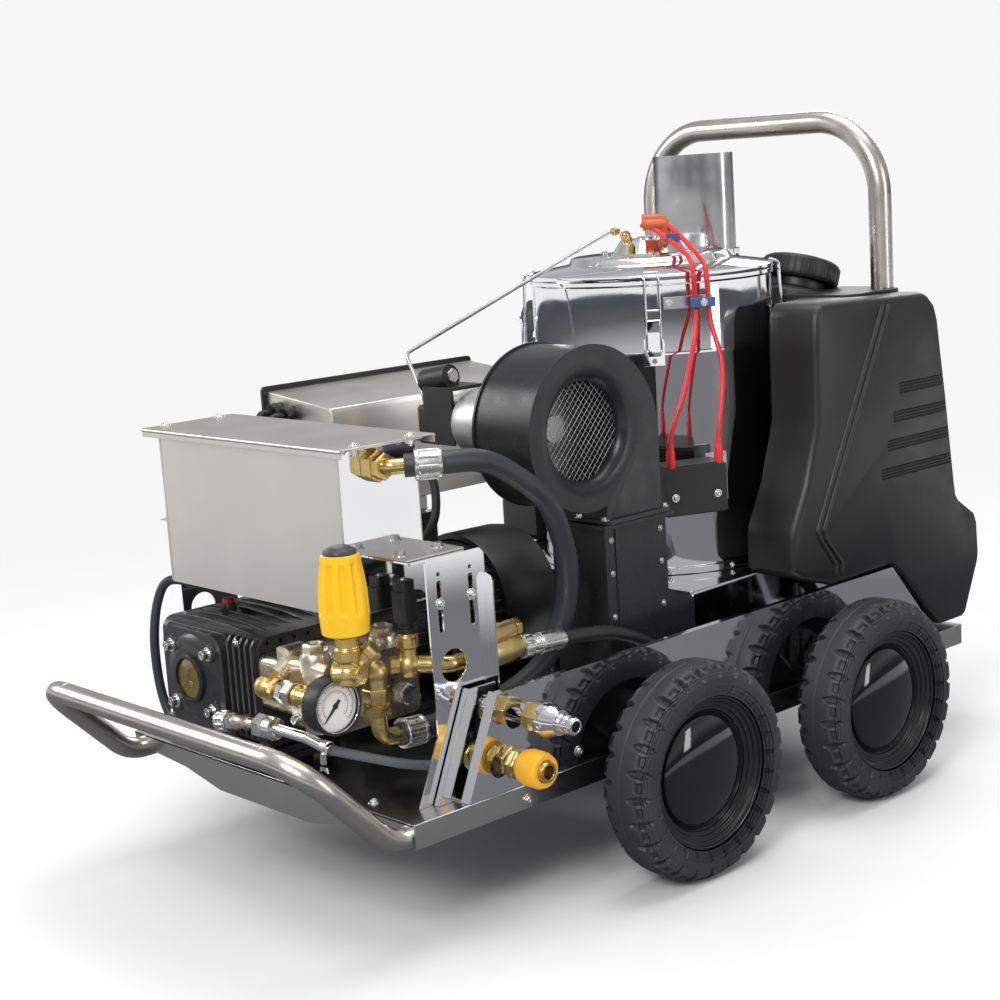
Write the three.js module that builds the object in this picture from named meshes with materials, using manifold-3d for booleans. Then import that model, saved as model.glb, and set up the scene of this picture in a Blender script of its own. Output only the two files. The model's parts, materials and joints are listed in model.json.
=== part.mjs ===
// Hot-water pressure washer on four wheels, in millimetres, +Z up.
// The machine is drawn from the front edge of its tray (y = 0) towards the rear, x = 0 on
// its middle plane, z = 0 on the floor, and the whole machine group is then moved so that
// the origin is under the middle of its overall box.
import * as THREE from 'three';
import { mergeVertices } from 'three/addons/utils/BufferGeometryUtils.js';
import Module from 'manifold-3d';

const wasm = await Module();
wasm.setup();

// ---------------------------------------------------------------- driving dimensions
const OVERALL = { front: -138, rear: 1036 };
const GAP = 0.4;
const SHEET = 2;
const WHEEL = { radius: 125, width: 65, bore: 88, innerX: 302, hubBore: 10.6, sides: 20 };
const AXLE = { frontY: 360, rearY: 700, radius: 10, halfLength: 344 };
const TRAY = { half: 271, length: 985, top: 149, thick: 3, skirt: 122 };
const PANEL = { top: 259.4, footY: 76.5, topY: 125, rearTopY: 830, rearFootY: 925, lip: 14 };
const BUMPER = { radius: 12.7, half: 255, frontY: -126.25, z: 240, legZ: 131.5, bendY: -20, legEndY: 130 };
const HANDLE = { radius: 15, half: 203, y: 917, top: 840, bend: 100 };
const BRACKET = { x: 237, thick: 2.3, top: 412, footY: 35, kinkZ: 222.5, edgeY: 65, rearY: 147 };
const TANK = { half: 170, front: 14, rear: 122, bottom: 350, top: 531, wall: 1.5, lidHalf: 190 };
const PUMP = { shaftX: -111, shaftZ: 246, left: -190, right: 10, front: 4, rear: 140 };
const PLUNGER = { y: [32, 72, 112], radius: 9, stroke: 14 };
const DIPSTICK = { x: -126.5, y: 60 };
const HEAD = { left: PUMP.right + GAP, right: 135, front: 0, rear: 132, bottom: 215, top: 300 };
const MOTOR = { radius: 88, start: 142, cowlY: 405, end: 500 };
const UNLOADER = { x: 200, y: -14, knobBottom: 343, knobTop: 437 };
const GAUGE = { y: -21, z: 266, radius: 31.5, back: 160, face: 186 };
const BLOWER = { y: 344, z: 505, left: 115, right: 210, inlet: 60, joint: 392 };
const DUCT = { left: 115, right: 205, front: 366, rear: 470, bottom: 160 };
const BOILER = { y: 685, radius: 159, bottom: 281.6, top: 656.8, wall: 2 };
const STAND = { half: 200, front: 515, rear: 855, top: 281 };
const FUEL = { half: 268.6, recess: 195 };
const CAP = { x: 87, y: 886, z: 628, radius: 53, tilt: THREE.MathUtils.degToRad(20) };
const BOX = { left: -270, right: -132, front: 239, rear: 587, bottom: 395, high: 543, low: 527 };
const NIPPLE = { y: 159.5, z: 229 };
const COUPLER = { y: 137, z: 181 };

// ---------------------------------------------------------------- geometry helpers
const vector = ([x, y, z]) => new THREE.Vector3(x, y, z);

// A closed three.js geometry as a solid that can be joined and cut.
function solid(geometry) {
  const bare = geometry.clone();
  bare.deleteAttribute('normal');
  bare.deleteAttribute('uv');
  const merged = mergeVertices(bare, 1e-3);
  const points = merged.attributes.position.array;
  const corners = merged.index.array;
  const triangles = [];
  const [a, b, c] = [new THREE.Vector3(), new THREE.Vector3(), new THREE.Vector3()];
  let volume = 0;
  for (let i = 0; i < corners.length; i += 3) {
    const [p, q, r] = [corners[i], corners[i + 1], corners[i + 2]];
    if (p === q || q === r || r === p) continue;
    triangles.push(p, q, r);
    a.fromArray(points, 3 * p);
    b.fromArray(points, 3 * q);
    c.fromArray(points, 3 * r);
    volume += a.dot(b.cross(c));
  }
  if (volume < 0) triangles.reverse();
  const mesh = new wasm.Mesh({
    numProp: 3,
    vertProperties: new Float32Array(points),
    triVerts: new Uint32Array(triangles),
  });
  return new wasm.Manifold(mesh);
}

const join = (...parts) => parts.flat().reduce((all, part) => all.add(part));
const cut = (body, ...tools) => tools.flat().reduce((rest, tool) => rest.subtract(tool), body);

function box(x0, x1, y0, y1, z0, z1) {
  const geometry = new THREE.BoxGeometry(x1 - x0, y1 - y0, z1 - z0);
  return solid(geometry.translate((x0 + x1) / 2, (y0 + y1) / 2, (z0 + z1) / 2));
}

// A round or many-sided rod between two points.
function rod(from, to, radius, sides = 8) {
  const [start, end] = [vector(from), vector(to)];
  const span = end.clone().sub(start);
  const geometry = new THREE.CylinderGeometry(radius, radius, span.length(), sides);
  const turn = new THREE.Quaternion();
  turn.setFromUnitVectors(new THREE.Vector3(0, 1, 0), span.normalize());
  geometry.applyQuaternion(turn);
  const middle = start.add(end).multiplyScalar(0.5);
  return solid(geometry.translate(middle.x, middle.y, middle.z));
}

// A profile of [radius, height] points turned about the z axis, then laid along an axis.
function turned(profile, axis = 'z', at = [0, 0, 0], sides = 16) {
  const points = profile.map(([radius, height]) => new THREE.Vector2(radius, height));
  const geometry = new THREE.LatheGeometry(points, sides).rotateX(Math.PI / 2);
  if (axis === 'x') geometry.rotateY(Math.PI / 2);
  if (axis === 'y') geometry.rotateX(-Math.PI / 2);
  return solid(geometry.translate(...at));
}

// A flat outline pushed along an axis: (y, z) for x, (x, z) for y and (x, y) for z.
function plate(outline, axis, from, to) {
  const shape = new THREE.Shape(outline.map(([u, v]) => new THREE.Vector2(u, v)));
  const geometry = new THREE.ExtrudeGeometry(shape, { depth: to - from, bevelEnabled: false });
  const frame = new THREE.Matrix4();
  const [x, y, z] = [vector([1, 0, 0]), vector([0, 1, 0]), vector([0, 0, 1])];
  if (axis === 'x') geometry.applyMatrix4(frame.makeBasis(y, z, x)).translate(from, 0, 0);
  if (axis === 'y') geometry.applyMatrix4(frame.makeBasis(x, z, y.negate())).translate(0, to, 0);
  if (axis === 'z') geometry.translate(0, 0, from);
  return solid(geometry);
}

// A path that takes each listed point as one step, so that straight runs need few faces.
class StepPath extends THREE.Curve {
  constructor(points) {
    super();
    this.points = points;
  }
  getPoint(t) {
    const place = t * (this.points.length - 1);
    const index = Math.min(Math.floor(place), this.points.length - 2);
    return this.points[index].clone().lerp(this.points[index + 1], place - index);
  }
  getPointAt(t) {
    return this.getPoint(t);
  }
  getTangentAt(t) {
    const last = this.points.length - 1;
    const index = Math.round(t * last);
    const here = this.points[index];
    const tangent = new THREE.Vector3();
    if (index > 0) tangent.add(here.clone().sub(this.points[index - 1]).normalize());
    if (index < last) tangent.add(this.points[index + 1].clone().sub(here).normalize());
    return tangent.normalize();
  }
}

function tube(points, radius, sides) {
  const section = new THREE.Shape();
  for (let i = 0; i < sides; i += 1) {
    const angle = (2 * Math.PI * (i + 0.5)) / sides;
    const corner = [radius * Math.cos(angle), radius * Math.sin(angle)];
    if (i === 0) section.moveTo(...corner);
    else section.lineTo(...corner);
  }
  section.closePath();
  const options = { steps: points.length - 1, bevelEnabled: false };
  return solid(new THREE.ExtrudeGeometry(section, { ...options, extrudePath: new StepPath(points) }));
}

// A bent tube: straight runs between the given corners, each corner rounded to a radius.
function bentTube(corners, bendRadius, radius, sides = 8, arcSteps = 3) {
  const nodes = corners.map(vector);
  const points = [nodes[0]];
  for (let i = 1; i < nodes.length - 1; i += 1) {
    const before = nodes[i - 1].clone().sub(nodes[i]).normalize();
    const after = nodes[i + 1].clone().sub(nodes[i]).normalize();
    const half = before.angleTo(after) / 2;
    const reach = bendRadius / Math.tan(half);
    const inward = before.clone().add(after).normalize();
    const centre = nodes[i].clone().addScaledVector(inward, bendRadius / Math.sin(half));
    const start = nodes[i].clone().addScaledVector(before, reach).sub(centre);
    const end = nodes[i].clone().addScaledVector(after, reach).sub(centre);
    const sweep = start.angleTo(end);
    for (let k = 0; k <= arcSteps; k += 1) {
      const share = k / arcSteps;
      const spot = start.clone().multiplyScalar(Math.sin((1 - share) * sweep));
      spot.addScaledVector(end, Math.sin(share * sweep)).divideScalar(Math.sin(sweep));
      points.push(spot.add(centre));
    }
  }
  points.push(nodes[nodes.length - 1]);
  return tube(points, radius, sides);
}

// A hose or pipe on a smooth curve through hand-chosen points.
function hose(route, radius, sides = 8, steps = 20) {
  const curve = new THREE.CatmullRomCurve3(route.map(vector), false, 'centripetal');
  return tube(curve.getSpacedPoints(steps), radius, sides);
}

const mirrored = (body) => body.mirror([1, 0, 0]);

// ---------------------------------------------------------------- scene helpers
const finish = (color, roughness, metalness) => ({ color, roughness, metalness });
const FINISHES = {
  polished: finish(0xd9dbdd, 0.12, 1),
  brushed: finish(0xb9b6ad, 0.35, 1),
  chrome: finish(0xe6e6e8, 0.1, 1),
  nickel: finish(0xcfc8ae, 0.22, 1),
  brass: finish(0xc89a3c, 0.28, 1),
  blackMetal: finish(0x1a1b1d, 0.45, 0.2),
  blackPlastic: finish(0x17181a, 0.55, 0),
  blackGloss: finish(0x0b0b0c, 0.15, 0),
  rubber: finish(0x1f2022, 0.8, 0),
  hoseGrey: finish(0x3a3d42, 0.6, 0),
  redLead: finish(0xc0242b, 0.4, 0),
  yellow: finish(0xf2b20c, 0.4, 0),
  orange: finish(0xe89a20, 0.45, 0),
  red: finish(0xb32418, 0.5, 0),
  steel: finish(0x8d8f92, 0.4, 1),
  alloy: finish(0xa9abad, 0.45, 0.9),
  white: finish(0xf2f2ee, 0.5, 0),
};

const machine = new THREE.Group();
machine.position.y = -(OVERALL.front + OVERALL.rear) / 2;

function piece(name, body, look, parent = machine, at = [0, 0, 0]) {
  const { vertProperties, triVerts } = body.getMesh();
  const geometry = new THREE.BufferGeometry();
  geometry.setAttribute('position', new THREE.BufferAttribute(vertProperties, 3));
  geometry.setIndex(new THREE.BufferAttribute(triVerts, 1));
  geometry.computeVertexNormals();
  const mesh = new THREE.Mesh(geometry, new THREE.MeshStandardMaterial(FINISHES[look]));
  mesh.name = name;
  mesh.position.set(...at);
  parent.add(mesh);
}

// ---------------------------------------------------------------- tray and side channels
function baseTray() {
  const { half, length, top, thick, skirt } = TRAY;
  const under = top - thick;
  const apron = [[-238, under + 1], [-238, 131], [-160, 125], [-88, 110.5],
    [88, 110.5], [160, 125], [238, 131], [238, under + 1]];
  const parts = [
    box(-half, half, 0, length, under, top),
    box(half - SHEET, half, 0, length, skirt, under + 1),
    box(-half, SHEET - half, 0, length, skirt, under + 1),
    box(-half, half, length - SHEET, length, skirt, under + 1),
    plate(apron, 'y', 0, SHEET),
  ];
  const notches = [AXLE.frontY, AXLE.rearY].map((y) => (
    rod([-half - 5, y, WHEEL.radius], [half + 5, y, WHEEL.radius], AXLE.radius + 1)));
  return cut(join(parts), notches);
}

function sideChannel() {
  const foot = TRAY.top + GAP;
  const { footY, topY, rearTopY, rearFootY, top, lip } = PANEL;
  const outer = TRAY.half;
  const slant = (topY - footY) / (top - foot);
  const web = [[footY, foot], [rearFootY, foot], [rearTopY, top], [topY, top]];
  const edge = [[footY, foot], [footY + 2.5, foot], [topY + 2.5, top], [topY, top]];
  const inner = { x: 247, y: 53, top: 265 };
  const innerTopY = inner.y + slant * (inner.top - foot);
  const innerWeb = [[inner.y, foot], [144, foot], [144, inner.top], [innerTopY, inner.top]];
  const innerEdge = [[inner.y, foot], [inner.y + 2.5, foot], [innerTopY + 2.5, inner.top],
    [innerTopY, inner.top]];
  return join(
    plate(web, 'x', outer - SHEET, outer),
    plate(edge, 'x', outer - lip, outer),
    plate(innerWeb, 'x', inner.x, inner.x + SHEET),
    plate(innerEdge, 'x', inner.x - 6, inner.x + SHEET),
    box(inner.x, outer - 0.5, footY + 2, rearFootY - 3, foot, foot + SHEET),
  );
}

function portHole({ y, z }) {
  return rod([TRAY.half - 10, y, z], [TRAY.half + 10, y, z], 15);
}

piece('base_tray', baseTray(), 'brushed');
piece('side_panel_right', cut(sideChannel(), portHole(NIPPLE), portHole(COUPLER)), 'polished');
piece('side_panel_left', mirrored(sideChannel()), 'polished');

// ---------------------------------------------------------------- bumper and handle
function bumper() {
  const { radius, half, frontY, z, legZ, bendY, legEndY } = BUMPER;
  const side = (sign) => [[sign * half, legEndY, legZ], [sign * half, bendY, legZ],
    [sign * half, frontY, z]];
  const path = [...side(1), ...side(-1).reverse()];
  const pad = (sign) => box(sign * half - 9, sign * half + 9, 40, 110, legZ + 8,
    TRAY.top - TRAY.thick - GAP);
  return join(bentTube(path, 52, radius), pad(1), pad(-1));
}

function handle() {
  const { radius, half, y, top, bend } = HANDLE;
  const foot = TRAY.top + GAP;
  const path = [[half, y, foot], [half, y, top], [-half, y, top], [-half, y, foot]];
  return bentTube(path, bend, radius, 10, 5);
}

piece('front_bumper', bumper(), 'brushed');
piece('rear_handle', handle(), 'brushed');

// ---------------------------------------------------------------- axles and wheels
function axle(y) {
  const { halfLength, radius } = AXLE;
  const z = WHEEL.radius;
  const bar = rod([-halfLength, y, z], [halfLength, y, z], radius);
  const saddle = (x) => box(x - 22, x + 22, y - 22, y + 22, z - 15,
    TRAY.top - TRAY.thick - GAP);
  const collar = (sign) => rod([sign * (TRAY.half + 2), y, z],
    [sign * (WHEEL.innerX + 1.5), y, z], 16);
  return join(bar, saddle(215), saddle(-215), collar(1), collar(-1));
}

const TYRE_PROFILE = [[88, 1], [88, 64], [112, 65], [125, 56], [125, 9], [112, 0], [88, 1]];
const RIM_PROFILE = [[0, 61], [40, 56.5], [65, 44], [78, 46], [87.5, 56], [87.5, 8], [70, 30],
  [24, 32], [24, 2], [WHEEL.hubBore, 2], [WHEEL.hubBore, 46], [0, 46]];

function wheel(label, sign, y) {
  const group = new THREE.Group();
  group.position.set(sign * WHEEL.innerX, y, WHEEL.radius);
  if (sign < 0) group.rotation.z = Math.PI;
  machine.add(group);
  piece(`tyre_${label}`, turned(TYRE_PROFILE, 'x', [0, 0, 0], WHEEL.sides), 'rubber', group);
  piece(`wheel_rim_${label}`, turned(RIM_PROFILE, 'x', [0, 0, 0], WHEEL.sides), 'blackGloss',
    group);
}

piece('front_axle', axle(AXLE.frontY), 'steel');
piece('rear_axle', axle(AXLE.rearY), 'steel');
for (const [end, y] of [['front', AXLE.frontY], ['rear', AXLE.rearY]]) {
  wheel(`${end}_right`, 1, y);
  wheel(`${end}_left`, -1, y);
}

// ---------------------------------------------------------------- water tank and brackets
function tankBracket() {
  const { x, thick, top, footY, kinkZ, edgeY, rearY } = BRACKET;
  const foot = TRAY.top + GAP;
  const web = [[footY, foot], [rearY, foot], [rearY, top], [edgeY, top], [edgeY + 2, kinkZ]];
  const wide = x - 10;
  const slot = (y, z0, z1, radius) => join(
    rod([wide, y, z0], [x + 10, y, z0], radius, 8),
    rod([wide, y, z1], [x + 10, y, z1], radius, 8),
    box(wide, x + 10, y - radius, y + radius, z0, z1),
  );
  const slots = [82, 126].flatMap((y) => [slot(y, 374, 386, 3.5), slot(y, 340, 360, 3.5)]);
  const port = rod([wide, 95.6, 292.7], [x + 10, 95.6, 292.7], 18, 20);
  const rail = box(x, x + 15, rearY - SHEET, rearY, foot + SHEET + GAP, 384);
  const shelf = box(TANK.half + GAP, x + thick, 45, 130, top - SHEET, top);
  return cut(join(plate(web, 'x', x, x + thick), rail, shelf), slots, port);
}

const VALVE = { x: -112, y: 68, z: 500 };

function waterTank() {
  const { half, front, rear, bottom, top, wall } = TANK;
  const shelfZ = BRACKET.top + GAP;
  const wing = (z0, z1, reach, y0, y1) => join(
    box(half - 1, reach, y0, y1, z0, z1),
    box(-reach, 1 - half, y0, y1, z0, z1),
  );
  const inside = box(wall - half, half - wall, front + wall, rear - wall, bottom + wall, top + 5);
  const shell = join(
    cut(join(box(-half, half, front, rear, bottom, top)), inside),
    wing(top - 1.5, top, TANK.lidHalf - 2, 20, 116),
    wing(shelfZ, shelfZ + SHEET, BRACKET.x - 5, 47, 126),
  );
  const valve = join(
    rod([0.5 - half, VALVE.y, VALVE.z], [VALVE.x - 12, VALVE.y, VALVE.z], 9),
    box(VALVE.x - 14, VALVE.x + 6, VALVE.y - 9, VALVE.y - 6, VALVE.z - 8, VALVE.z + 8),
    box(VALVE.x - 14, VALVE.x + 6, VALVE.y + 6, VALVE.y + 9, VALVE.z - 8, VALVE.z + 8),
  );
  const screwHoles = [30, 106].flatMap((y) => [-1, 1].map((sign) => (
    rod([sign * 180, y, top - 10], [sign * 180, y, top + 10], 3.6, 10))));
  const outlet = rod([half - 5, 60, 508], [half + 5, 60, 508], 9);
  const drain = rod([-150, 100, bottom - 5], [-150, 100, bottom + 5], 6.5, 10);
  return cut(join(shell, valve), screwHoles, outlet, drain);
}

function tankLid() {
  const { lidHalf, top } = TANK;
  const z = top + GAP;
  const screws = [30, 106].flatMap((y) => [-1, 1].flatMap((sign) => [
    rod([sign * 180, y, top - 9], [sign * 180, y, z + 1], 3, 10),
    rod([sign * 180, y, z + 1], [sign * 180, y, z + 6], 6, 10),
    rod([sign * 180, y, top - 9], [sign * 180, y, top - 3], 6, 6),
  ]));
  return join(
    box(-lidHalf, lidHalf, 4, 132, z, z + SHEET),
    box(-lidHalf, lidHalf, 4, 6, z - 9, z + SHEET),
    box(-lidHalf, lidHalf, 130, 132, z - 9, z + SHEET),
    screws,
  );
}

// Drawn about its pivot: the arm hangs down to the right and carries the ball.
function floatArm() {
  const droop = THREE.MathUtils.degToRad(35);
  const reach = (length) => [length * Math.cos(droop), 0, -length * Math.sin(droop)];
  const ball = solid(new THREE.SphereGeometry(30, 10, 6).translate(...reach(125)));
  return join(rod([0, -5.4, 0], [0, 5.4, 0], 5, 10), rod([0, 0, 0], reach(125), 2.5, 8), ball);
}

piece('tank_bracket_right', tankBracket(), 'polished');
piece('tank_bracket_left', mirrored(tankBracket()), 'polished');
piece('water_tank', waterTank(), 'brushed');
piece('water_tank_lid', tankLid(), 'brushed');
piece('float_arm', floatArm(), 'brass', machine, [VALVE.x, VALVE.y, VALVE.z]);

// ---------------------------------------------------------------- pump
function crankcase() {
  const { shaftX, shaftZ, left, right, front, rear } = PUMP;
  const [bottom, top] = [178, 306];
  const feet = [[-182, -152], [-66, -36]].map(([x0, x1]) => (
    box(x0, x1, 50, 110, TRAY.top + GAP, bottom + 1)));
  const ribs = [];
  for (let x = left + 6; x < right - 4; x += 22) {
    ribs.push(box(x, x + 5, front, rear, top - 1, top + 6));
  }
  for (let x = shaftX + 66; x < right - 2; x += 12) {
    ribs.push(box(x, x + 4, front - 6, front + 1, bottom + 8, top - 6));
  }
  const cavity = box(left + 12, right - 14, front + 12, rear - 12, bottom + 10, top - 10);
  const coverBore = rod([shaftX, front - 5, shaftZ], [shaftX, front + 20, shaftZ], 46, 24);
  const shaftBore = rod([shaftX, rear - 20, shaftZ], [shaftX, rear + 5, shaftZ], 15);
  const plungerBores = PLUNGER.y.map((y) => (
    rod([right - 20, y, shaftZ], [right + 5, y, shaftZ], PLUNGER.radius + GAP)));
  const dipstick = rod([DIPSTICK.x, DIPSTICK.y, top - 20], [DIPSTICK.x, DIPSTICK.y, top + 5], 6);
  const body = join(box(left, right, front, rear, bottom, top), feet, ribs);
  return cut(body, cavity, coverBore, shaftBore, plungerBores, dipstick);
}

function crankcaseCover() {
  const { shaftX, shaftZ, front } = PUMP;
  const y = front - GAP;
  const [halfX, halfZ, corner] = [61, 57, 18];
  const outline = [[-halfX, -halfZ + corner], [-halfX + corner, -halfZ], [halfX - corner, -halfZ],
    [halfX, -halfZ + corner], [halfX, halfZ - corner], [halfX - corner, halfZ],
    [-halfX + corner, halfZ], [-halfX, halfZ - corner]];
  const placed = outline.map(([x, z]) => [x + shaftX, z + shaftZ]);
  const screws = [-1, 1].flatMap((i) => [-1, 1].map((k) => {
    const [x, z] = [shaftX + i * 38, shaftZ + k * 34];
    return rod([x, y - 8, z], [x, y - 20, z], 6.5, 10);
  }));
  const glassRing = rod([shaftX, y - 8, shaftZ], [shaftX, y - 15, shaftZ], 29, 20);
  const spigot = rod([shaftX, y - 1, shaftZ], [shaftX, y + 8, shaftZ], 45, 24);
  return join(plate(placed, 'y', y - 10, y), screws, glassRing, spigot);
}

function pumpHead() {
  const { left, right, front, rear, bottom, top } = HEAD;
  const seals = box(left, 70, front + 4, rear, bottom + 10, top - 12);
  const valves = box(69, right, front, rear, bottom, top);
  const caps = [17, 63, 110].map((y) => rod([100, y, top - 1], [100, y, top + 14], 14, 6));
  const ports = [17, 63, 110].map((y) => rod([right - 1, y, 240], [right + 8, y, 240], 13, 6));
  const bores = PLUNGER.y.map((y) => (
    rod([left - 5, y, PUMP.shaftZ], [95, y, PUMP.shaftZ], PLUNGER.radius + GAP)));
  const arm = box(48, 72, front + 2, front + 30, top - 14, top + 6);
  return cut(join(seals, valves, caps, ports, arm), bores);
}

// Motor rotor, coupling and crankshaft: one shaft line along y.
function driveShaft() {
  const at = (y) => [PUMP.shaftX, y, PUMP.shaftZ];
  const lobes = PLUNGER.y.map((y, i) => {
    const angle = (2 * Math.PI * i) / PLUNGER.y.length;
    const [x, z] = [Math.cos(angle), Math.sin(angle)].map((part) => part * (PLUNGER.stroke / 2));
    return rod([PUMP.shaftX + x, y - 6, PUMP.shaftZ + z], [PUMP.shaftX + x, y + 6, PUMP.shaftZ + z],
      20, 16);
  });
  return join(
    rod(at(18), at(470)),
    lobes,
    rod(at(152), at(188), 34, 16),
    rod(at(225), at(385), 62, 20),
    rod(at(440), at(462), 78),
  );
}

// Drawn about its middle: the ceramic rod runs right, into the pump head.
function plunger() {
  const { radius } = PLUNGER;
  return join(rod([-46, 0, 0], [50, 0, 0], radius), rod([-62, 0, 0], [-40, 0, 0], 14));
}

piece('pump_crankcase', crankcase(), 'blackMetal');
piece('crankcase_cover', crankcaseCover(), 'blackMetal');
piece('oil_cap', join(rod([0, 0, -30], [0, 0, 2], 5), rod([0, 0, 1], [0, 0, 13], 8),
  rod([0, 0, 12], [0, 0, 19], 6.5)), 'red', machine, [DIPSTICK.x, DIPSTICK.y, 307]);
piece('pump_manifold', pumpHead(), 'nickel');
piece('drive_shaft', driveShaft(), 'steel');
PLUNGER.y.forEach((y, i) => {
  piece(`plunger_${i + 1}`, plunger(), 'white', machine, [-4, y, PUMP.shaftZ]);
});

// ---------------------------------------------------------------- unloader, gauge, outlet
function unloaderBody() {
  const { x, y, knobBottom } = UNLOADER;
  return join(
    rod([x, y, 290], [x, y, knobBottom - GAP], 13),
    rod([x, y, 340], [x, y, 420], 6),
    rod([x, y, 303], [168, 30, 303], 11),
    box(150, 186, 14, 52, 272, 318),
    rod([HEAD.right + GAP, 38, 282], [152, 38, 282], 9),
    rod([178, 36, 273], [178, 36, 256], 15, 6),
  );
}

function unloaderKnob() {
  const height = UNLOADER.knobTop - UNLOADER.knobBottom;
  const profile = [[7, 0], [25, 0], [26.5, 4], [26.5, 60], [23, height - 14], [17, height - 12],
    [16, height - 1], [12, height], [0, height], [0, height - 12], [7, height - 12], [7, 0]];
  return turned(profile, 'z', [0, 0, 0], 20);
}

function gaugeCase() {
  const { y, z, radius, back, face } = GAUGE;
  const recess = rod([face - 6, y, z], [face + 5, y, z], radius - 3, 24);
  return cut(join(
    rod([back, y, z], [face, y, z], radius, 24),
    rod([110, y, z], [back + 1, y, z], 9),
    rod([86, y, z], [112, y, z], 13, 6),
    rod([52, y, z], [88, y, z], 9),
    rod([52, y - 9, z], [52, HEAD.front - GAP, z], 10),
  ), recess);
}

function gaugeNeedle() {
  return join(rod([0, 0, 0], [1, 0, 0], 3.2, 10), box(0, 1, -0.9, 0.9, -8, 22));
}

// Outlet tee with the pressure switch standing on it, and the elbow to the boiler hose.
function outletLine() {
  return join(
    rod([179, 57, 292], [188, 76, 291], 9),
    rod([190, 74, 280], [190, 74, 330], 11),
    box(179, 201, 63, 85, 328, 384),
    bentTube([[190, 74, 291], [219, 106, 288], [222, 200, 285]], 14, 9, 10, 3),
    rod([220.5, 152, 286.5], [221.2, 176, 285.8], 12.5, 6),
  );
}

const PRESSURE_ROUTE = [[222, 200.6, 285], [225, 240, 283], [228, 300, 279], [230, 350, 270],
  [230, 405, 244], [230, 460, 208], [230, 515, 184], [229, 550, 178]];
function pressureHose() {
  const [start, next] = [PRESSURE_ROUTE[0], PRESSURE_ROUTE[1]];
  return join(hose(PRESSURE_ROUTE, 8.5, 8, 15), rod(start, [225.2, 246, 282.7], 11),
    rod([229, 536, 179], [229, 562, 176], 11), rod([229, 556, 176], [200.6, 556, 176], 8),
    rod(start, next.map((value, i) => start[i] + (value - start[i]) * 0.3), 12, 6));
}

piece('unloader_body', unloaderBody(), 'brass');
piece('unloader_knob', unloaderKnob(), 'yellow', machine, [UNLOADER.x, UNLOADER.y,
  UNLOADER.knobBottom]);
piece('gauge_case', gaugeCase(), 'blackPlastic');
piece('gauge_needle', gaugeNeedle(), 'blackPlastic', machine, [GAUGE.face - 5.5, GAUGE.y,
  GAUGE.z]);
piece('outlet_line', outletLine(), 'brass');
piece('pressure_hose', pressureHose(), 'rubber');

// ---------------------------------------------------------------- feed hose and bypass line
const FEED_ROUTE = [[206, 74, 508], [226, 101, 508], [234, 150, 504], [232, 192, 487],
  [230, 250, 444], [222, 280, 395], [214, 294, 350], [201, 296, 300], [192, 270, 250],
  [186, 220, 224], [182, 160, 214], [180, 100, 212], [178, 62, 213]];
function feedHose() {
  return join(
    rod([158, 60, 508], [172, 60, 508], 8.4),
    rod([TANK.half + GAP, 60, 508], [184, 60, 508], 18, 6),
    rod([183, 60, 508], [193, 60, 508], 15, 6),
    bentTube([[186, 60, 508], [198, 63, 508], [212, 82, 508]], 6, 7, 10, 3),
    hose(FEED_ROUTE, 12.5, 8, 18),
    rod([212, 82, 508], [227, 102.5, 508], 15),
    rod([178, 66, 213], [179, 90, 212], 15),
    bentTube([[178, 38, 255], [178, 38, 215], [178, 66, 213]], 14, 8, 10, 4),
    rod([178, 36.5, 255.5], [178, 36.5, 242], 14, 6),
  );
}

const RETURN_ROUTE = [[-150, 100, 349], [-152, 96, 332], [-196, 76, 330], [-232, 48, 336],
  [-246, 36, 310], [-246, 26, 262], [-243, 26, 205], [-228, 28, 168], [-200, 28, 162],
  [-120, 26, 161], [-76, 8, 162], [-57, -14, 184], [-44, -16, 207]];
const BYPASS_ROUTE = [[158, -14, 212], [170, 8, 203], [190, 52, 186], [206, 92, 176],
  [214, 140, 170], [216, 240, 163], [216, 360, 160], [216, 480, 160], [216, 535, 160]];
function bypassLine() {
  return join(
    hose(RETURN_ROUTE, 5.5, 6, 20),
    rod([-46, -16, 206.6], [8, -14, 214.5], 10),
    bentTube([[6, -14, 214], [66, -14, 217], [116, -14, 217], [158, -14, 211]], 30, 6, 8, 2),
    rod([46, -14, 216], [72, -14, 217], 14, 6),
    rod([140, -14, 213.6], [157, -14, 211.2], 9, 10),
    hose(BYPASS_ROUTE, 5, 6, 13),
    rod([216, 524, 160], [216, 542, 160], 7),
    rod([216, 538, 160], [200.6, 538, 160], 5),
  );
}

piece('feed_hose', feedHose(), 'hoseGrey');
piece('bypass_line', bypassLine(), 'hoseGrey');

// ---------------------------------------------------------------- electric motor
function motorHousing() {
  const { radius, start, cowlY, end } = MOTOR;
  const axis = [PUMP.shaftX, 0, PUMP.shaftZ];
  const profile = [[17, start], [72, start], [84, start + 46], [radius, start + 52],
    [radius, cowlY], [radius + 6, cowlY + 2], [radius + 6, end - 18], [92, end], [50, end],
    [50, end - 3], [88, end - 3], [radius + 2, end - 20], [radius + 2, cowlY + 14],
    [18, cowlY + 8], [18, 395], [70, 395], [70, 215], [18, 215], [18, start + 48],
    [60, start + 44], [52, start + 6], [17, start + 6], [17, start]];
  const body = turned(profile, 'y', axis, 14);
  const fins = [];
  for (let angle = -30; angle <= 210; angle += 60) {
    const turn = THREE.MathUtils.degToRad(angle);
    const fin = new THREE.BoxGeometry(12, 200, 3).translate(radius + 3, 300, 0).rotateY(-turn);
    fins.push(solid(fin.translate(...axis)));
  }
  const foot = box(-186, -36, 230, 370, TRAY.top + GAP, PUMP.shaftZ - radius + 12);
  const terminalBox = box(-165, -65, 245, 345, PUMP.shaftZ + radius - 10, 388);
  return join(body, fins, foot, terminalBox);
}

piece('motor_housing', motorHousing(), 'blackMetal');

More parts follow.
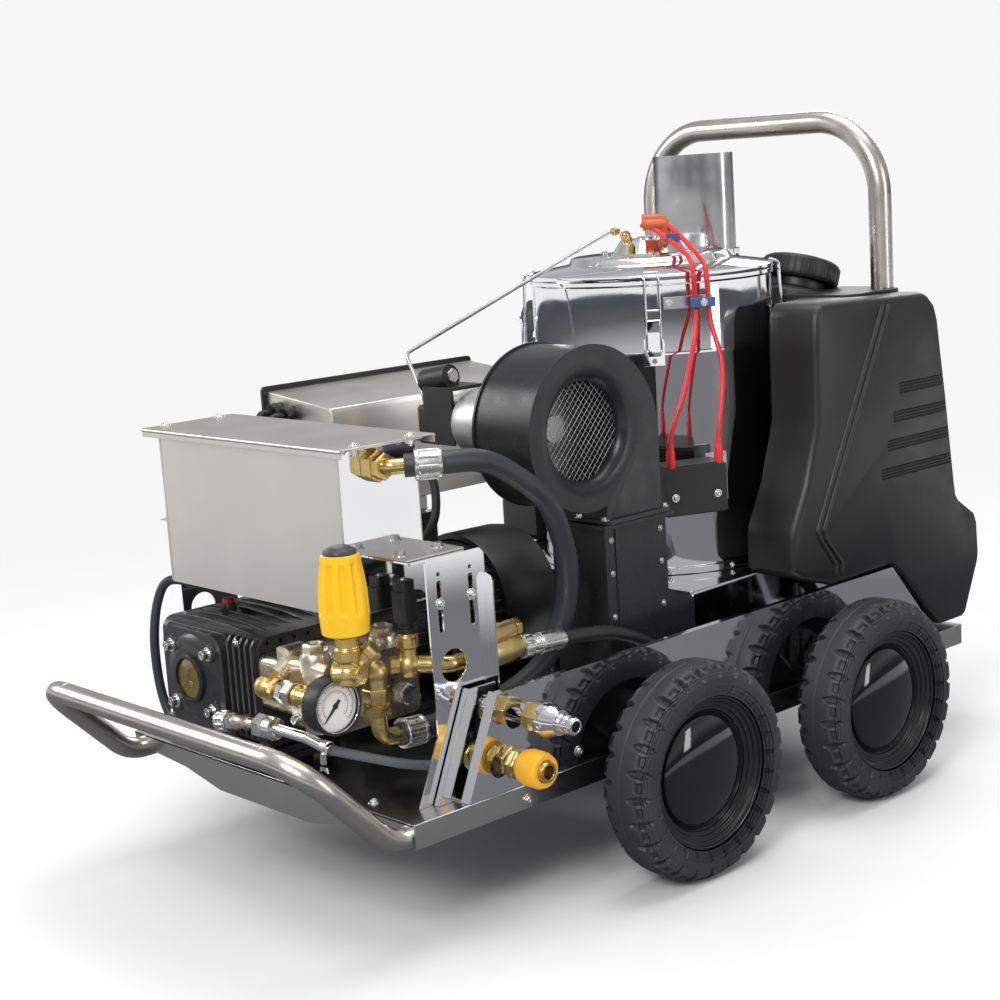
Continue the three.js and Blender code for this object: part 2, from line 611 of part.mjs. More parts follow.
// ---------------------------------------------------------------- burner blower
// The scroll's outline about its shaft, grown by an offset: a spiral that starts at the
// tongue left of the outlet, climbs over the front and top and runs down to the joint.
function scroll(offset) {
  const outline = [];
  const [start, sweep, steps] = [-75, -285, 22];
  for (let i = 0; i <= steps; i += 1) {
    const share = i / steps;
    const angle = THREE.MathUtils.degToRad(start + sweep * share);
    const radius = 91 + 22 * share ** 3.5 + offset;
    outline.push([BLOWER.y + radius * Math.cos(angle), BLOWER.z + radius * Math.sin(angle)]);
  }
  const floor = offset < 0 ? BLOWER.joint - 5 : BLOWER.joint;
  outline.push([BLOWER.y + 113 + offset, floor], [BLOWER.y + 23.5 - offset, floor]);
  return outline;
}

function blowerHousing() {
  const { y, z, left, right, inlet, joint } = BLOWER;
  const shell = join(
    plate(scroll(0), 'x', left, right),
    turned([[inlet, -3], [inlet + 12, -3], [inlet + 10, 3], [inlet + 3, 5], [inlet, 2],
      [inlet, -3]], 'x', [right, y, z], 28),
    box(left - 6, right + 2, DUCT.front - 6, DUCT.rear + 8, joint, joint + 2.5),
  );
  return cut(shell,
    plate(scroll(-SHEET), 'x', left + SHEET, right - SHEET),
    rod([right - 10, y, z], [right + 10, y, z], inlet, 28),
    rod([left - 5, y, z], [left + 5, y, z], 44, 24),
    box(left + SHEET, right - SHEET, DUCT.front + 4, DUCT.rear - 14, joint - 5, joint + 5));
}

// A squirrel-cage wheel on its shaft, drawn about the shaft's middle.
function impeller() {
  const blades = [];
  const count = 8;
  for (let i = 0; i < count; i += 1) {
    const blade = new THREE.BoxGeometry(52, 12, 1.6).translate(0, 66, 0);
    blades.push(solid(blade.rotateX((2 * Math.PI * i) / count).translate(0, 0, 0)));
  }
  const ring = turned([[60, 24], [72, 24], [72, 27], [60, 27], [60, 24]], 'x');
  const back = turned([[0, -27], [72, -27], [72, -24], [16, -22], [16, -8], [0, -8]], 'x');
  return join(blades, ring, back, rod([-66, 0, 0], [-20, 0, 0], 5, 10));
}

// Burner motor with its fuel pump and solenoid valve on the left end.
function burnerMotor() {
  const { y, z, left } = BLOWER;
  const body = join(
    rod([12, y, z], [left - GAP, y, z], 38, 24),
    rod([30, y, z], [72, y, z], 43, 24),
    rod([left - 8, y, z], [left - GAP, y, z], 50, 24),
    rod([-20, y, z], [14, y, z], 16),
    box(-62, -18, y - 24, y + 26, z - 30, z + 22),
    rod([-44, y - 12, z + 20], [-44, y - 12, z + 38], 10, 10),
    rod([-58, y - 12, z + 48], [-14, y - 8, z + 56], 15),
  );
  return cut(body, rod([left - 24, y, z], [left + 5, y, z], 6.5));
}

function blowerDuct() {
  const { left, right, front, rear, bottom } = DUCT;
  const top = BLOWER.joint - GAP;
  const shoulder = 290;
  const stop = STAND.front - GAP;
  const outer = join(
    box(left, right, front, rear, bottom, top),
    box(left, right, rear - 1, stop, bottom, shoulder - 14),
    plate([[rear - 2, bottom + 1], [stop, bottom + 1], [stop, shoulder - 15], [rear + 6, shoulder],
      [rear - 2, shoulder]], 'x', left, right),
    box(left - 6, right + 7, front - 6, rear + 8, top - 2.5, top),
  );
  const inner = join(
    box(left + SHEET, right - SHEET, front + SHEET, rear - SHEET, bottom + SHEET, top + 5),
    box(left + SHEET, right - SHEET, rear - 5, stop + 5, bottom + SHEET, shoulder - 18),
  );
  return cut(outer, inner);
}

piece('blower_housing', blowerHousing(), 'blackMetal');
piece('blower_impeller', impeller(), 'steel', machine, [
  (BLOWER.left + BLOWER.right) / 2, BLOWER.y, BLOWER.z]);
piece('burner_motor', burnerMotor(), 'alloy');
piece('blower_duct', blowerDuct(), 'blackMetal');

const FUEL_PIPE = [[-63.5, 349.5, 500], [-72, 350, 503], [-118, 352, 583], [4, 606, 716],
  [4, 622, 716]];
piece('fuel_pipe', bentTube(FUEL_PIPE, 9, 2.4, 8, 3), 'steel');

// ---------------------------------------------------------------- boiler
// Points around the boiler: an angle from +x, a distance from its axis and a height.
function around(degrees, distance, z) {
  const angle = THREE.MathUtils.degToRad(degrees);
  return [distance * Math.cos(angle), BOILER.y + distance * Math.sin(angle), z];
}

const LATCH = { angles: [-137, -47, 43, 133], z: 568, out: 172, pin: 4, hook: [-15, 98.5] };

function boilerShell() {
  const { y, radius, bottom, top, wall } = BOILER;
  const inner = radius - wall;
  const profile = [[inner, bottom], [radius + 5, bottom], [radius + 5, bottom + 9],
    [radius, bottom + 9], [radius, top], [inner, top], [inner, bottom]];
  const lugs = LATCH.angles.map((degrees) => (
    rod(around(degrees, radius - 1, LATCH.z), around(degrees, LATCH.out - LATCH.pin - GAP, LATCH.z),
      7, 10)));
  return join(turned(profile, 'z', [0, y, 0], 24), lugs);
}

function boilerLid() {
  const { y, radius, top } = BOILER;
  const z = top + GAP;
  const profile = [[0, z], [radius + 2, z], [radius + 2, z + 6], [128, z + 8], [124, z + 13],
    [48, z + 16], [38, z + 28], [18, z + 30], [18, z + 46], [0, z + 46]];
  const flue = { halfFlat: 34, radius: 28, y: y + 93, top: 808 };
  const ring = (grow, from, to) => join(
    rod([-flue.halfFlat, flue.y, from], [-flue.halfFlat, flue.y, to], flue.radius + grow, 12),
    rod([flue.halfFlat, flue.y, from], [flue.halfFlat, flue.y, to], flue.radius + grow, 12),
    box(-flue.halfFlat, flue.halfFlat, flue.y - flue.radius - grow, flue.y + flue.radius + grow,
      from, to),
  );
  const body = join(turned(profile, 'z', [0, y, 0], 24), ring(0, z, flue.top), ring(5, z, z + 24));
  const burnerTube = rod([0, y, z - 60], [0, y, z + 1], 40, 20);
  return cut(join(body, burnerTube), ring(-1.5, z - 5, flue.top + 5),
    rod([0, y, z - 65], [0, y, z + 10], 37, 20));
}

function heatingCoil() {
  const { y } = BOILER;
  const [turns, perTurn, radius, pitch] = [6, 9, 128, 46];
  const points = [];
  for (let i = 0; i <= turns * perTurn; i += 1) {
    const angle = (2 * Math.PI * i) / perTurn;
    points.push(vector([radius * Math.cos(angle), y + radius * Math.sin(angle),
      300 + (pitch * i) / perTurn]));
  }
  return tube(points, 13, 5);
}

function boilerStand() {
  const { half, front, rear, top } = STAND;
  const foot = TRAY.top + GAP;
  const shell = cut(box(-half, half, front, rear, foot, top),
    box(SHEET - half, half - SHEET, front + SHEET, rear - SHEET, foot - 1, top - SHEET));
  return cut(shell,
    rod([0, BOILER.y, top - 10], [0, BOILER.y, top + 10], 110, 28),
    box(DUCT.left + 4, DUCT.right - 7, front - 5, front + 5, DUCT.bottom + 4, 268));
}

// Ignition transformer on the boiler's front right, with a bracket strap to the shell.
const TRANSFORMER = { angle: -24, face: 229, depth: 48, width: 86, low: 371, high: 434 };
function transformer() {
  const { angle, face, depth, width, low, high } = TRANSFORMER;
  const turn = THREE.MathUtils.degToRad(angle);
  const shift = -49;
  const block = new THREE.BoxGeometry(depth, width, high - low);
  block.translate(face - depth / 2, shift, (low + high) / 2);
  const strap = new THREE.BoxGeometry(4, 66, 50).translate(face - depth - 1, 20, (low + high) / 2);
  const stem = new THREE.BoxGeometry(24, 12, 40).translate(BOILER.radius + 13, 6, (low + high) / 2);
  const parts = [block, strap, stem].map((geometry) => (
    solid(geometry.rotateZ(turn).translate(0, BOILER.y, 0))));
  return join(parts);
}

// Two high-voltage leads from the transformer, held in one clamp on the way to the burner.
const LEAD_ROUTES = [
  [[175, 516, 434.5], [175, 517, 468], [178, 543, 520], [172, 570, 570], [153, 600, 612],
    [150, 602, 640], [151, 600, 662], [137, 611, 680], [86, 640, 697], [40, 652, 716], [24, 668, 722]],
  [[208, 589, 434.5], [208, 590, 466], [204, 606, 510], [190, 618, 555], [165, 614, 602],
    [161, 615, 634], [158, 616, 660], [144, 626, 677], [84, 656, 706], [34, 676, 728], [19, 684, 728]],
];
function ignitionLeads() {
  const leads = LEAD_ROUTES.map((route) => hose(route, 3.4, 6, 14));
  const boots = LEAD_ROUTES.map(([foot, above]) => rod(foot, above, 5.5, 10));
  const clamp = rod([143, 602, 626], [166, 621, 622], 7, 8);
  const electrodeBoot = rod([19, 684, 728], [36, 664, 720], 8, 10);
  return join(leads, boots, clamp, electrodeBoot);
}

// Lid latch, drawn about its pivot: lever plate and a wire bail that hooks over the lid's rim.
function latch() {
  const [hookX, hookZ] = LATCH.hook;
  const side = (y) => join(
    rod([0, y, 0], [-3.5, y, 96], 1.6, 5),
    rod([-3.5, y, 96], [hookX, y, hookZ], 1.6, 5),
  );
  return join(
    rod([0, -8, 0], [0, 8, 0], LATCH.pin, 8),
    box(-1.5, 2.5, -8, 8, -2, 36),
    side(-9),
    side(9),
    rod([hookX, -10, hookZ], [hookX, 10, hookZ], 1.6, 5),
  );
}

piece('boiler_shell', boilerShell(), 'polished');
piece('boiler_lid', boilerLid(), 'polished');
piece('heating_coil', heatingCoil(), 'steel');
piece('boiler_stand', boilerStand(), 'polished');
piece('ignition_transformer', transformer(), 'blackPlastic');
piece('ignition_leads', ignitionLeads(), 'redLead');
LATCH.angles.forEach((degrees, i) => {
  const group = new THREE.Group();
  group.position.set(...around(degrees, LATCH.out, LATCH.z));
  group.rotation.z = THREE.MathUtils.degToRad(degrees);
  machine.add(group);
  piece(`lid_latch_${i + 1}`, latch(), 'chrome', group);
});

// ---------------------------------------------------------------- fuel tank
function fuelTank() {
  const { half, recess } = FUEL;
  const side = [[690, 606], [688, 470], [661, 392], [632, 338], [632, 286], [704, 260],
    [835, 260], [942, 156], [1002, 156], [1036, 232], [1034, 288], [984, 324], [966, 475],
    [945, 590], [920, 612], [705, 618]];
  const corner = 55;
  const plan = [[-half, 600], [half, 600], [half, OVERALL.rear - corner],
    [half - corner * 0.3, OVERALL.rear - corner * 0.3], [half - corner, OVERALL.rear],
    [corner - half, OVERALL.rear], [corner * 0.3 - half, OVERALL.rear - corner * 0.3],
    [-half, OVERALL.rear - corner]];
  const outer = plate(side, 'x', -half, half).intersect(plate(plan, 'z', 100, 700));
  const neckTop = CAP.z;
  const neck = (radius, low, high) => {
    const geometry = new THREE.CylinderGeometry(radius, radius, high - low, 20);
    geometry.rotateX(Math.PI / 2).translate(0, 0, (low + high) / 2).rotateX(-CAP.tilt);
    return solid(geometry.translate(CAP.x, CAP.y, neckTop));
  };
  const lobe = (sign) => join(
    box(...[sign * 210, sign * 256].sort((a, b) => a - b), 716, 896, 272, 594),
    box(...[sign * 150, sign * 256].sort((a, b) => a - b), 884, 896, 300, 594),
  );
  const legs = [-1, 1].map((sign) => (
    rod([sign * HANDLE.half, HANDLE.y, 140], [sign * HANDLE.half, HANDLE.y, 700],
      HANDLE.radius + 0.6, 16)));
  return cut(join(outer, neck(40, -60, -GAP)),
    rod([0, BOILER.y, 100], [0, BOILER.y, 700], recess, 36),
    box(-recess, recess, 590, BOILER.y, 100, 700),
    box(-STAND.half - 3, STAND.half + 3, 590, STAND.rear + 5, 100, STAND.top + 4),
    box(-178, 178, 890, 932, 200, 594),
    lobe(1), lobe(-1), legs, neck(32, -70, 5));
}

function fillerCap() {
  const profile = [[0, -16], [30, -16], [30, 0], [50, 0], [53, 3], [53, 24], [48, 29], [0, 31]];
  return turned(profile, 'z', [0, 0, 0], 24);
}

piece('fuel_tank', fuelTank(), 'blackPlastic');
const capSeat = new THREE.Group();
capSeat.position.set(CAP.x, CAP.y, CAP.z);
capSeat.rotation.x = -CAP.tilt;
machine.add(capSeat);
piece('filler_cap', fillerCap(), 'blackPlastic', capSeat);

// ---------------------------------------------------------------- control box
const KNOBS = { main: { y: 320, z: 470 }, thermostat: { y: 430, z: 470 } };
function controlBox() {
  const { left, right, front, rear, bottom, high, low } = BOX;
  const outline = [[left, bottom], [right, bottom], [right, low], [left, high]];
  const inside = [[left + SHEET, bottom - 1], [right - SHEET, bottom - 1], [right - SHEET, low - SHEET],
    [left + SHEET, high - SHEET]];
  const spindle = ({ y, z }) => rod([left - 6, y, z], [left + 1, y, z], 5, 10);
  return join(
    cut(plate(outline, 'y', front, rear), plate(inside, 'y', front + SHEET, rear - SHEET)),
    box(left, left + 40, 398, 472, bottom, bottom + 3),
    box(left - 3, left + 0.5, front - 6, rear + 6, bottom - 6, high + 6),
    box(left + 28, left + 31, 400, 470, TRAY.top + GAP, bottom + 1),
    rod([-240, front - 14, 522], [-240, front + 1, 522], 9),
    rod([-214, front - 14, 519], [-214, front + 1, 519], 9),
    spindle(KNOBS.main), spindle(KNOBS.thermostat),
  );
}

// A panel knob drawn about its spindle, facing left.
function panelKnob(radius) {
  return cut(
    join(turned([[0, -26], [radius * 0.8, -26], [radius, -20], [radius, -4], [0, -4]], 'x', [0, 0, 0],
      20), box(-30, -24, -radius * 0.9, radius * 0.9, -3, 3)),
    rod([-10, 0, 0], [5, 0, 0], 5.4, 10),
  );
}

piece('control_box', controlBox(), 'polished');
for (const [name, { y, z }, radius] of [['main_switch_knob', KNOBS.main, 24],
  ['thermostat_knob', KNOBS.thermostat, 20]]) {
  piece(name, panelKnob(radius), 'blackPlastic', machine, [BOX.left, y, z]);
}

// ---------------------------------------------------------------- water ports
function inletNipple() {
  const at = (x) => [x, NIPPLE.y, NIPPLE.z];
  return join(rod(at(253), at(289), 11), rod(at(287), at(307), 16.5, 6),
    rod(at(306), at(332), 16), rod(at(331), at(353), 9.5, 16));
}

function outletCoupler() {
  const at = (x) => [x, COUPLER.y, COUPLER.z];
  return cut(join(rod(at(253), at(332), 11.5, 16), rod(at(271 + GAP), at(289), 17.5, 6)),
    rod(at(304), at(340), 7.5, 16));
}

piece('inlet_nipple', inletNipple(), 'chrome');
piece('outlet_coupler', outletCoupler(), 'brass');
piece('coupler_sleeve', turned([[12.2, 0], [18, 0], [20, 4], [20, 26], [18, 30], [12.2, 30],
  [12.2, 0]], 'x'), 'orange', machine, [297, COUPLER.y, COUPLER.z]);

export default new THREE.Group().add(machine);
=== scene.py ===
import json
import math

import bmesh
import bpy
from mathutils import Matrix, Vector


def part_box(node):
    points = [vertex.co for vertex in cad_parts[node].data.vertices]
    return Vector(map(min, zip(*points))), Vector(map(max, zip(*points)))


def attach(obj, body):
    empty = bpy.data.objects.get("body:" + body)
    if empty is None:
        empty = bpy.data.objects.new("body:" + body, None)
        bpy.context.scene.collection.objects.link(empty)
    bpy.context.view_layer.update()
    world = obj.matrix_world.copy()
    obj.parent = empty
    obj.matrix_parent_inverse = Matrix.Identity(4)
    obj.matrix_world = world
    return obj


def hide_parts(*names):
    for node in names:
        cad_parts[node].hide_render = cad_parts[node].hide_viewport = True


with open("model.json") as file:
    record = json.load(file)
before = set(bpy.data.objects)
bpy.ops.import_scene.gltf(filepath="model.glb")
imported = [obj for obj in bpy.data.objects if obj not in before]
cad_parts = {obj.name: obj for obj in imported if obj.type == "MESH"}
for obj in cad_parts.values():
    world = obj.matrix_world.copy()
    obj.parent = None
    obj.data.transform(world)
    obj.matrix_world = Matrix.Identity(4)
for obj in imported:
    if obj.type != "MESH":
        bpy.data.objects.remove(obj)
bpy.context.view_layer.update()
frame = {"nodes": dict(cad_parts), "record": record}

# Lengths in this script are millimetres: x from the middle plane, y from the tray's front edge,
# z from the floor. at() turns them into the frame's metres.
MM = 0.001
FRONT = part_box("base_tray")[0].y
SLOTS = {part["node"]: part["material_slot"] for part in frame["record"]["subparts"]}
ROOT = "machine"
DECK = 149.4
X, Y, Z = Vector((1, 0, 0)), Vector((0, 1, 0)), Vector((0, 0, 1))


def at(x, y, z):
    return Vector((x * MM, FRONT + y * MM, z * MM))


# ---------------------------------------------------------------- camera and studio
CAMERA = {"azimuth": 48.106, "elevation": 10.232, "roll": -3.709, "lens": 66.3}
CAMERA_PLACE = (1685.6, -1121.9, 807.9)


def make_camera():
    azimuth, elevation, roll = (math.radians(CAMERA[key]) for key in ("azimuth", "elevation", "roll"))
    back = Vector((math.sin(azimuth) * math.cos(elevation),
                   -math.cos(azimuth) * math.cos(elevation), math.sin(elevation)))
    level = (-back).cross(Z).normalized()
    upright = level.cross(-back)
    right = level * math.cos(roll) + upright * math.sin(roll)
    up = upright * math.cos(roll) - level * math.sin(roll)
    data = bpy.data.cameras.new("camera")
    data.lens = CAMERA["lens"]
    camera = bpy.data.objects.new("camera", data)
    turn = Matrix((right, up, back)).transposed().to_4x4()
    camera.matrix_world = Matrix.Translation(at(*CAMERA_PLACE)) @ turn
    bpy.context.scene.collection.objects.link(camera)
    bpy.context.scene.camera = camera


def area_light(name, place, aim, size, power):
    data = bpy.data.lights.new(name, "AREA")
    data.shape = "RECTANGLE"
    data.size, data.size_y = size
    data.energy = power
    light = bpy.data.objects.new(name, data)
    light.location = place
    light.rotation_euler = (Vector(aim) - Vector(place)).to_track_quat("-Z", "Y").to_euler()
    bpy.context.scene.collection.objects.link(light)


# The studio's lengths are metres: the floor's fade into the backdrop, and the dark patch round the
# object that only reflections see.
BACKDROP = (0.93, 0.93, 0.93, 1)
FADE = {"start": 0.9, "end": 2.6, "unseen_glow": 0.3}
DARK_PATCH = {"start": 1.5, "end": 2.1, "share": 0.85, "color": (0.04, 0.045, 0.058, 1)}
FLOOR_HALF = 14.0
LIGHTS = (("key", (1.9, -3.6, 3.0), (0, 0, 0.4), (1.3, 1.3), 105),
          ("window", (-3.4, -2.2, 2.2), (0, -0.2, 0.5), (1.4, 2.2), 50),
          ("top", (0.2, 0.4, 3.6), (0, 0, 0.3), (2.4, 2.4), 55),
          ("side", (4.2, 1.2, 1.6), (0, 0.2, 0.4), (0.7, 2.4), 30),
          ("rim", (-1.5, 3.6, 2.2), (0, 0.2, 0.5), (2.0, 1.2), 35))
SKY = {"low": (0.1, 0.11, 0.13, 1), "high": (1.0, 1.0, 1.0, 1), "strength": 0.75,
       "bands": ((0.54, 0.16), (0.62, 0.7), (0.78, 0.5))}


def eased(tree, value, start, end, low, high):
    """A smooth change from low to high while a value goes from start to end."""
    remap = tree.nodes.new("ShaderNodeMapRange")
    remap.interpolation_type = "SMOOTHSTEP"
    for key, number in (("From Min", start), ("From Max", end), ("To Min", low), ("To Max", high)):
        remap.inputs[key].default_value = number
    tree.links.new(value, remap.inputs["Value"])
    return remap.outputs[0]


def joined(tree, operation, first, second):
    """Two values put together by a Math node."""
    step = tree.nodes.new("ShaderNodeMath")
    step.operation = operation
    tree.links.new(first, step.inputs[0])
    tree.links.new(second, step.inputs[1])
    return step.outputs[0]


def mixed(tree, factor, first, second):
    """Two shaders mixed by a factor."""
    mix = tree.nodes.new("ShaderNodeMixShader")
    for socket, source in zip(mix.inputs, (factor, first, second)):
        tree.links.new(source, socket)
    return mix.outputs[0]


def fade_floor(tree):
    """The floor turns into the pale backdrop away from the object, so that no horizon shows.

    Polished steel sees a dark floor close by and a bright one further off."""
    coords = tree.nodes.new("ShaderNodeTexCoord")
    distance = tree.nodes.new("ShaderNodeVectorMath")
    distance.operation = "LENGTH"
    tree.links.new(coords.outputs["Object"], distance.inputs[0])
    away = distance.outputs["Value"]
    path = tree.nodes.new("ShaderNodeLightPath")
    glossy = path.outputs["Is Glossy Ray"]
    dimmed = tree.nodes.new("ShaderNodeMapRange")
    dimmed.inputs["To Min"].default_value = FADE["unseen_glow"]
    tree.links.new(joined(tree, "MAXIMUM", path.outputs["Is Camera Ray"], glossy),
                   dimmed.inputs["Value"])
    glow = tree.nodes.new("ShaderNodeEmission")
    glow.inputs["Color"].default_value = BACKDROP
    tree.links.new(dimmed.outputs[0], glow.inputs["Strength"])
    dark = tree.nodes.new("ShaderNodeEmission")
    dark.inputs["Color"].default_value = DARK_PATCH["color"]
    share = eased(tree, away, FADE["start"], FADE["end"], 0.0, 1.0)
    reach = eased(tree, away, DARK_PATCH["start"], DARK_PATCH["end"], DARK_PATCH["share"], 0.0)
    floor = mixed(tree, share, tree.nodes["Principled BSDF"].outputs[0], glow.outputs[0])
    floor = mixed(tree, joined(tree, "MULTIPLY", glossy, reach), floor, dark.outputs[0])
    tree.links.new(floor, tree.nodes["Material Output"].inputs["Surface"])


def make_floor():
    half = FLOOR_HALF
    floor_mesh = bpy.data.meshes.new("floor")
    floor_mesh.from_pydata([(-half, -half, 0), (half, -half, 0), (half, half, 0), (-half, half, 0)],
                           [], [(0, 1, 2, 3)])
    floor = bpy.data.objects.new("floor", floor_mesh)
    bpy.context.scene.collection.objects.link(floor)
    floor_look = surface("studio_floor", (0.86, 0.86, 0.86), 0.6, grain=40, mottle=0.01, bump=0.02)
    floor_mesh.materials.append(floor_look)
    fade_floor(floor_look.node_tree)


def make_world():
    """A sky of soft bands for reflections; the camera sees the plain backdrop."""
    world = bpy.data.worlds.new("studio")
    world.use_nodes = True
    tree = world.node_tree
    coords = tree.nodes.new("ShaderNodeTexCoord")
    split = tree.nodes.new("ShaderNodeSeparateXYZ")
    remap = tree.nodes.new("ShaderNodeMapRange")
    remap.inputs["From Min"].default_value = -1.0
    ramp = tree.nodes.new("ShaderNodeValToRGB")
    low, high = ramp.color_ramp.elements
    low.position, low.color = 0.5, SKY["low"]
    high.position, high.color = 1.0, SKY["high"]
    for place, shade in SKY["bands"]:
        ramp.color_ramp.elements.new(place).color = (shade, shade, shade * 1.03, 1)
    tree.links.new(coords.outputs["Generated"], split.inputs[0])
    tree.links.new(split.outputs["Z"], remap.inputs["Value"])
    tree.links.new(remap.outputs[0], ramp.inputs[0])
    sky = tree.nodes["Background"]
    tree.links.new(ramp.outputs[0], sky.inputs["Color"])
    sky.inputs["Strength"].default_value = SKY["strength"]
    seen = tree.nodes.new("ShaderNodeBackground")
    seen.inputs["Color"].default_value = BACKDROP
    path = tree.nodes.new("ShaderNodeLightPath")
    both = mixed(tree, path.outputs["Is Camera Ray"], sky.outputs[0], seen.outputs[0])
    tree.links.new(both, tree.nodes["World Output"].inputs["Surface"])
    bpy.context.scene.world = world
    bpy.context.scene.view_settings.view_transform = "Standard"


def make_studio():
    make_floor()
    for light in LIGHTS:
        area_light(*light)
    make_world()


# ---------------------------------------------------------------- materials
def surface(name, color, rough, metal=0.0, mottle=0.08, cloud=7.0, spread=0.06, grain=500.0,
            bump=0.08, streak=None, wear=0.0, coat=0.0, sheet_wave=0.0):
    """A procedural surface: mottled colour, uneven roughness, fine grain or brushing, worn edges."""
    material = bpy.data.materials.new(name)
    material.use_nodes = True
    tree = material.node_tree
    shader = tree.nodes["Principled BSDF"]
    shader.inputs["Metallic"].default_value = metal
    shader.inputs["Coat Weight"].default_value = coat
    shader.inputs["Coat Roughness"].default_value = 0.08
    coords = tree.nodes.new("ShaderNodeTexCoord")

    def noise(scale, detail=3.0, stretch=None):
        texture = tree.nodes.new("ShaderNodeTexNoise")
        texture.inputs["Scale"].default_value = scale
        texture.inputs["Detail"].default_value = detail
        source = coords.outputs["Object"]
        if stretch:
            mapping = tree.nodes.new("ShaderNodeMapping")
            mapping.inputs["Scale"].default_value = stretch
            tree.links.new(source, mapping.inputs["Vector"])
            source = mapping.outputs["Vector"]
        tree.links.new(source, texture.inputs["Vector"])
        return texture.outputs["Fac"]

    def ranged(value, low, high, start=0.3, end=0.7):
        remap = tree.nodes.new("ShaderNodeMapRange")
        for key, number in zip(("From Min", "From Max", "To Min", "To Max"), (start, end, low, high)):
            remap.inputs[key].default_value = number
        tree.links.new(value, remap.inputs["Value"])
        return remap.outputs[0]

    def blended(factor, first, second):
        mix = tree.nodes.new("ShaderNodeMix")
        mix.data_type = "RGBA"
        tree.links.new(factor, mix.inputs["Factor"])
        for socket, value in (("A", first), ("B", second)):
            target = next(s for s in mix.inputs if s.name == socket and s.type == "RGBA")
            if isinstance(value, bpy.types.NodeSocket):
                tree.links.new(value, target)
            else:
                target.default_value = (*value, 1)
        return next(s for s in mix.outputs if s.type == "RGBA")

    patches = noise(cloud, 5.0)
    darker = [part * (1 - mottle) for part in color]
    lighter = [min(1.0, part * (1 + mottle)) for part in color]
    tone = blended(ranged(patches, 0, 1), darker, lighter)
    if wear:
        edge = tree.nodes.new("ShaderNodeNewGeometry").outputs["Pointiness"]
        worn = [min(1.0, part * 1.8 + 0.06) for part in color]
        tone = blended(ranged(edge, 0, wear, 0.52, 0.6), tone, worn)
    tree.links.new(tone, shader.inputs["Base Color"])
    fine = noise(1.0, 4.0, streak) if streak else noise(grain, 2.0)
    rougher = ranged(noise(cloud * 3.1, 4.0), max(0.02, rough - spread), rough + spread)
    tree.links.new(rougher, shader.inputs["Roughness"])
    relief = tree.nodes.new("ShaderNodeBump")
    relief.inputs["Strength"].default_value = bump
    relief.inputs["Distance"].default_value = 0.0004
    tree.links.new(fine, relief.inputs["Height"])
    if sheet_wave:
        wave = tree.nodes.new("ShaderNodeBump")
        wave.inputs["Strength"].default_value = sheet_wave
        wave.inputs["Distance"].default_value = 0.004
        tree.links.new(noise(5.0, 1.0), wave.inputs["Height"])
        tree.links.new(wave.outputs[0], relief.inputs["Normal"])
    tree.links.new(relief.outputs[0], shader.inputs["Normal"])
    return material


STREAK_X, STREAK_Y, STREAK_Z = (14, 900, 900), (900, 14, 900), (900, 900, 14)
make_camera()
make_studio()
POLISHED = surface("polished_stainless", (0.86, 0.87, 0.88), 0.05, 1.0, mottle=0.03, spread=0.03,
                   bump=0.015, sheet_wave=0.12)
SATIN = surface("satin_stainless", (0.7, 0.68, 0.64), 0.36, 1.0, mottle=0.035, cloud=5, spread=0.03,
                bump=0.07, streak=STREAK_X)
TRAY_STEEL = surface("tray_stainless", (0.7, 0.69, 0.66), 0.2, 1.0, mottle=0.06, bump=0.06,
                     streak=STREAK_X)
TUBE = surface("brushed_tube", (0.62, 0.59, 0.54), 0.3, 1.0, mottle=0.06, cloud=12, bump=0.1,
               grain=900)
BARE = surface("plain_steel", (0.52, 0.52, 0.52), 0.34, 1.0, mottle=0.12, cloud=30, bump=0.1)
ZINC = surface("zinc_plate", (0.75, 0.75, 0.73), 0.25, 1.0, mottle=0.1, cloud=60, bump=0.1)
CHROME = surface("chrome", (0.88, 0.88, 0.9), 0.07, 1.0, mottle=0.02, spread=0.03, bump=0.02)
NICKEL = surface("nickel_forging", (0.74, 0.68, 0.54), 0.3, 1.0, mottle=0.08, cloud=40, bump=0.14)
BRASS = surface("brass_fitting", (0.72, 0.53, 0.2), 0.28, 1.0, mottle=0.12, cloud=45, bump=0.12)
BRASS_CAST = surface("cast_brass", (0.66, 0.5, 0.21), 0.4, 1.0, mottle=0.14, cloud=40, bump=0.3,
                     grain=900)
PUMP_BLACK = surface("pump_enamel", (0.018, 0.018, 0.02), 0.34, 0.0, mottle=0.25, cloud=20, bump=0.16,
                     wear=0.25, coat=0.15)
MOTOR_BLACK = surface("motor_enamel", (0.01, 0.01, 0.011), 0.42, 0.0, mottle=0.2, bump=0.1, wear=0.15)
BLOWER_BLACK = surface("satin_powder", (0.012, 0.0125, 0.014), 0.3, 0.0, mottle=0.2, cloud=14,
                       bump=0.14, grain=1400, wear=0.15)
ALLOY = surface("cast_alloy", (0.6, 0.61, 0.61), 0.42, 1.0, mottle=0.1, cloud=35, bump=0.3, grain=700)
RUBBER = surface("tyre_rubber", (0.03, 0.031, 0.034), 0.52, 0.0, mottle=0.22, cloud=16, spread=0.08,
                 bump=0.25, grain=1100, wear=0.35)
RIM = surface("wheel_moulding", (0.012, 0.012, 0.013), 0.22, 0.0, mottle=0.15, bump=0.05, coat=0.2)
GLOSS = surface("glossy_black", (0.006, 0.006, 0.007), 0.05, 0.0, mottle=0.1, spread=0.02, bump=0.01,
                coat=0.6)
HOSE_BLACK = surface("hose_rubber", (0.014, 0.014, 0.015), 0.4, 0.0, mottle=0.2, cloud=25, bump=0.3,
                     grain=1600)
HOSE_GREY = surface("hose_grey", (0.032, 0.036, 0.043), 0.42, 0.0, mottle=0.14, cloud=18, bump=0.12)
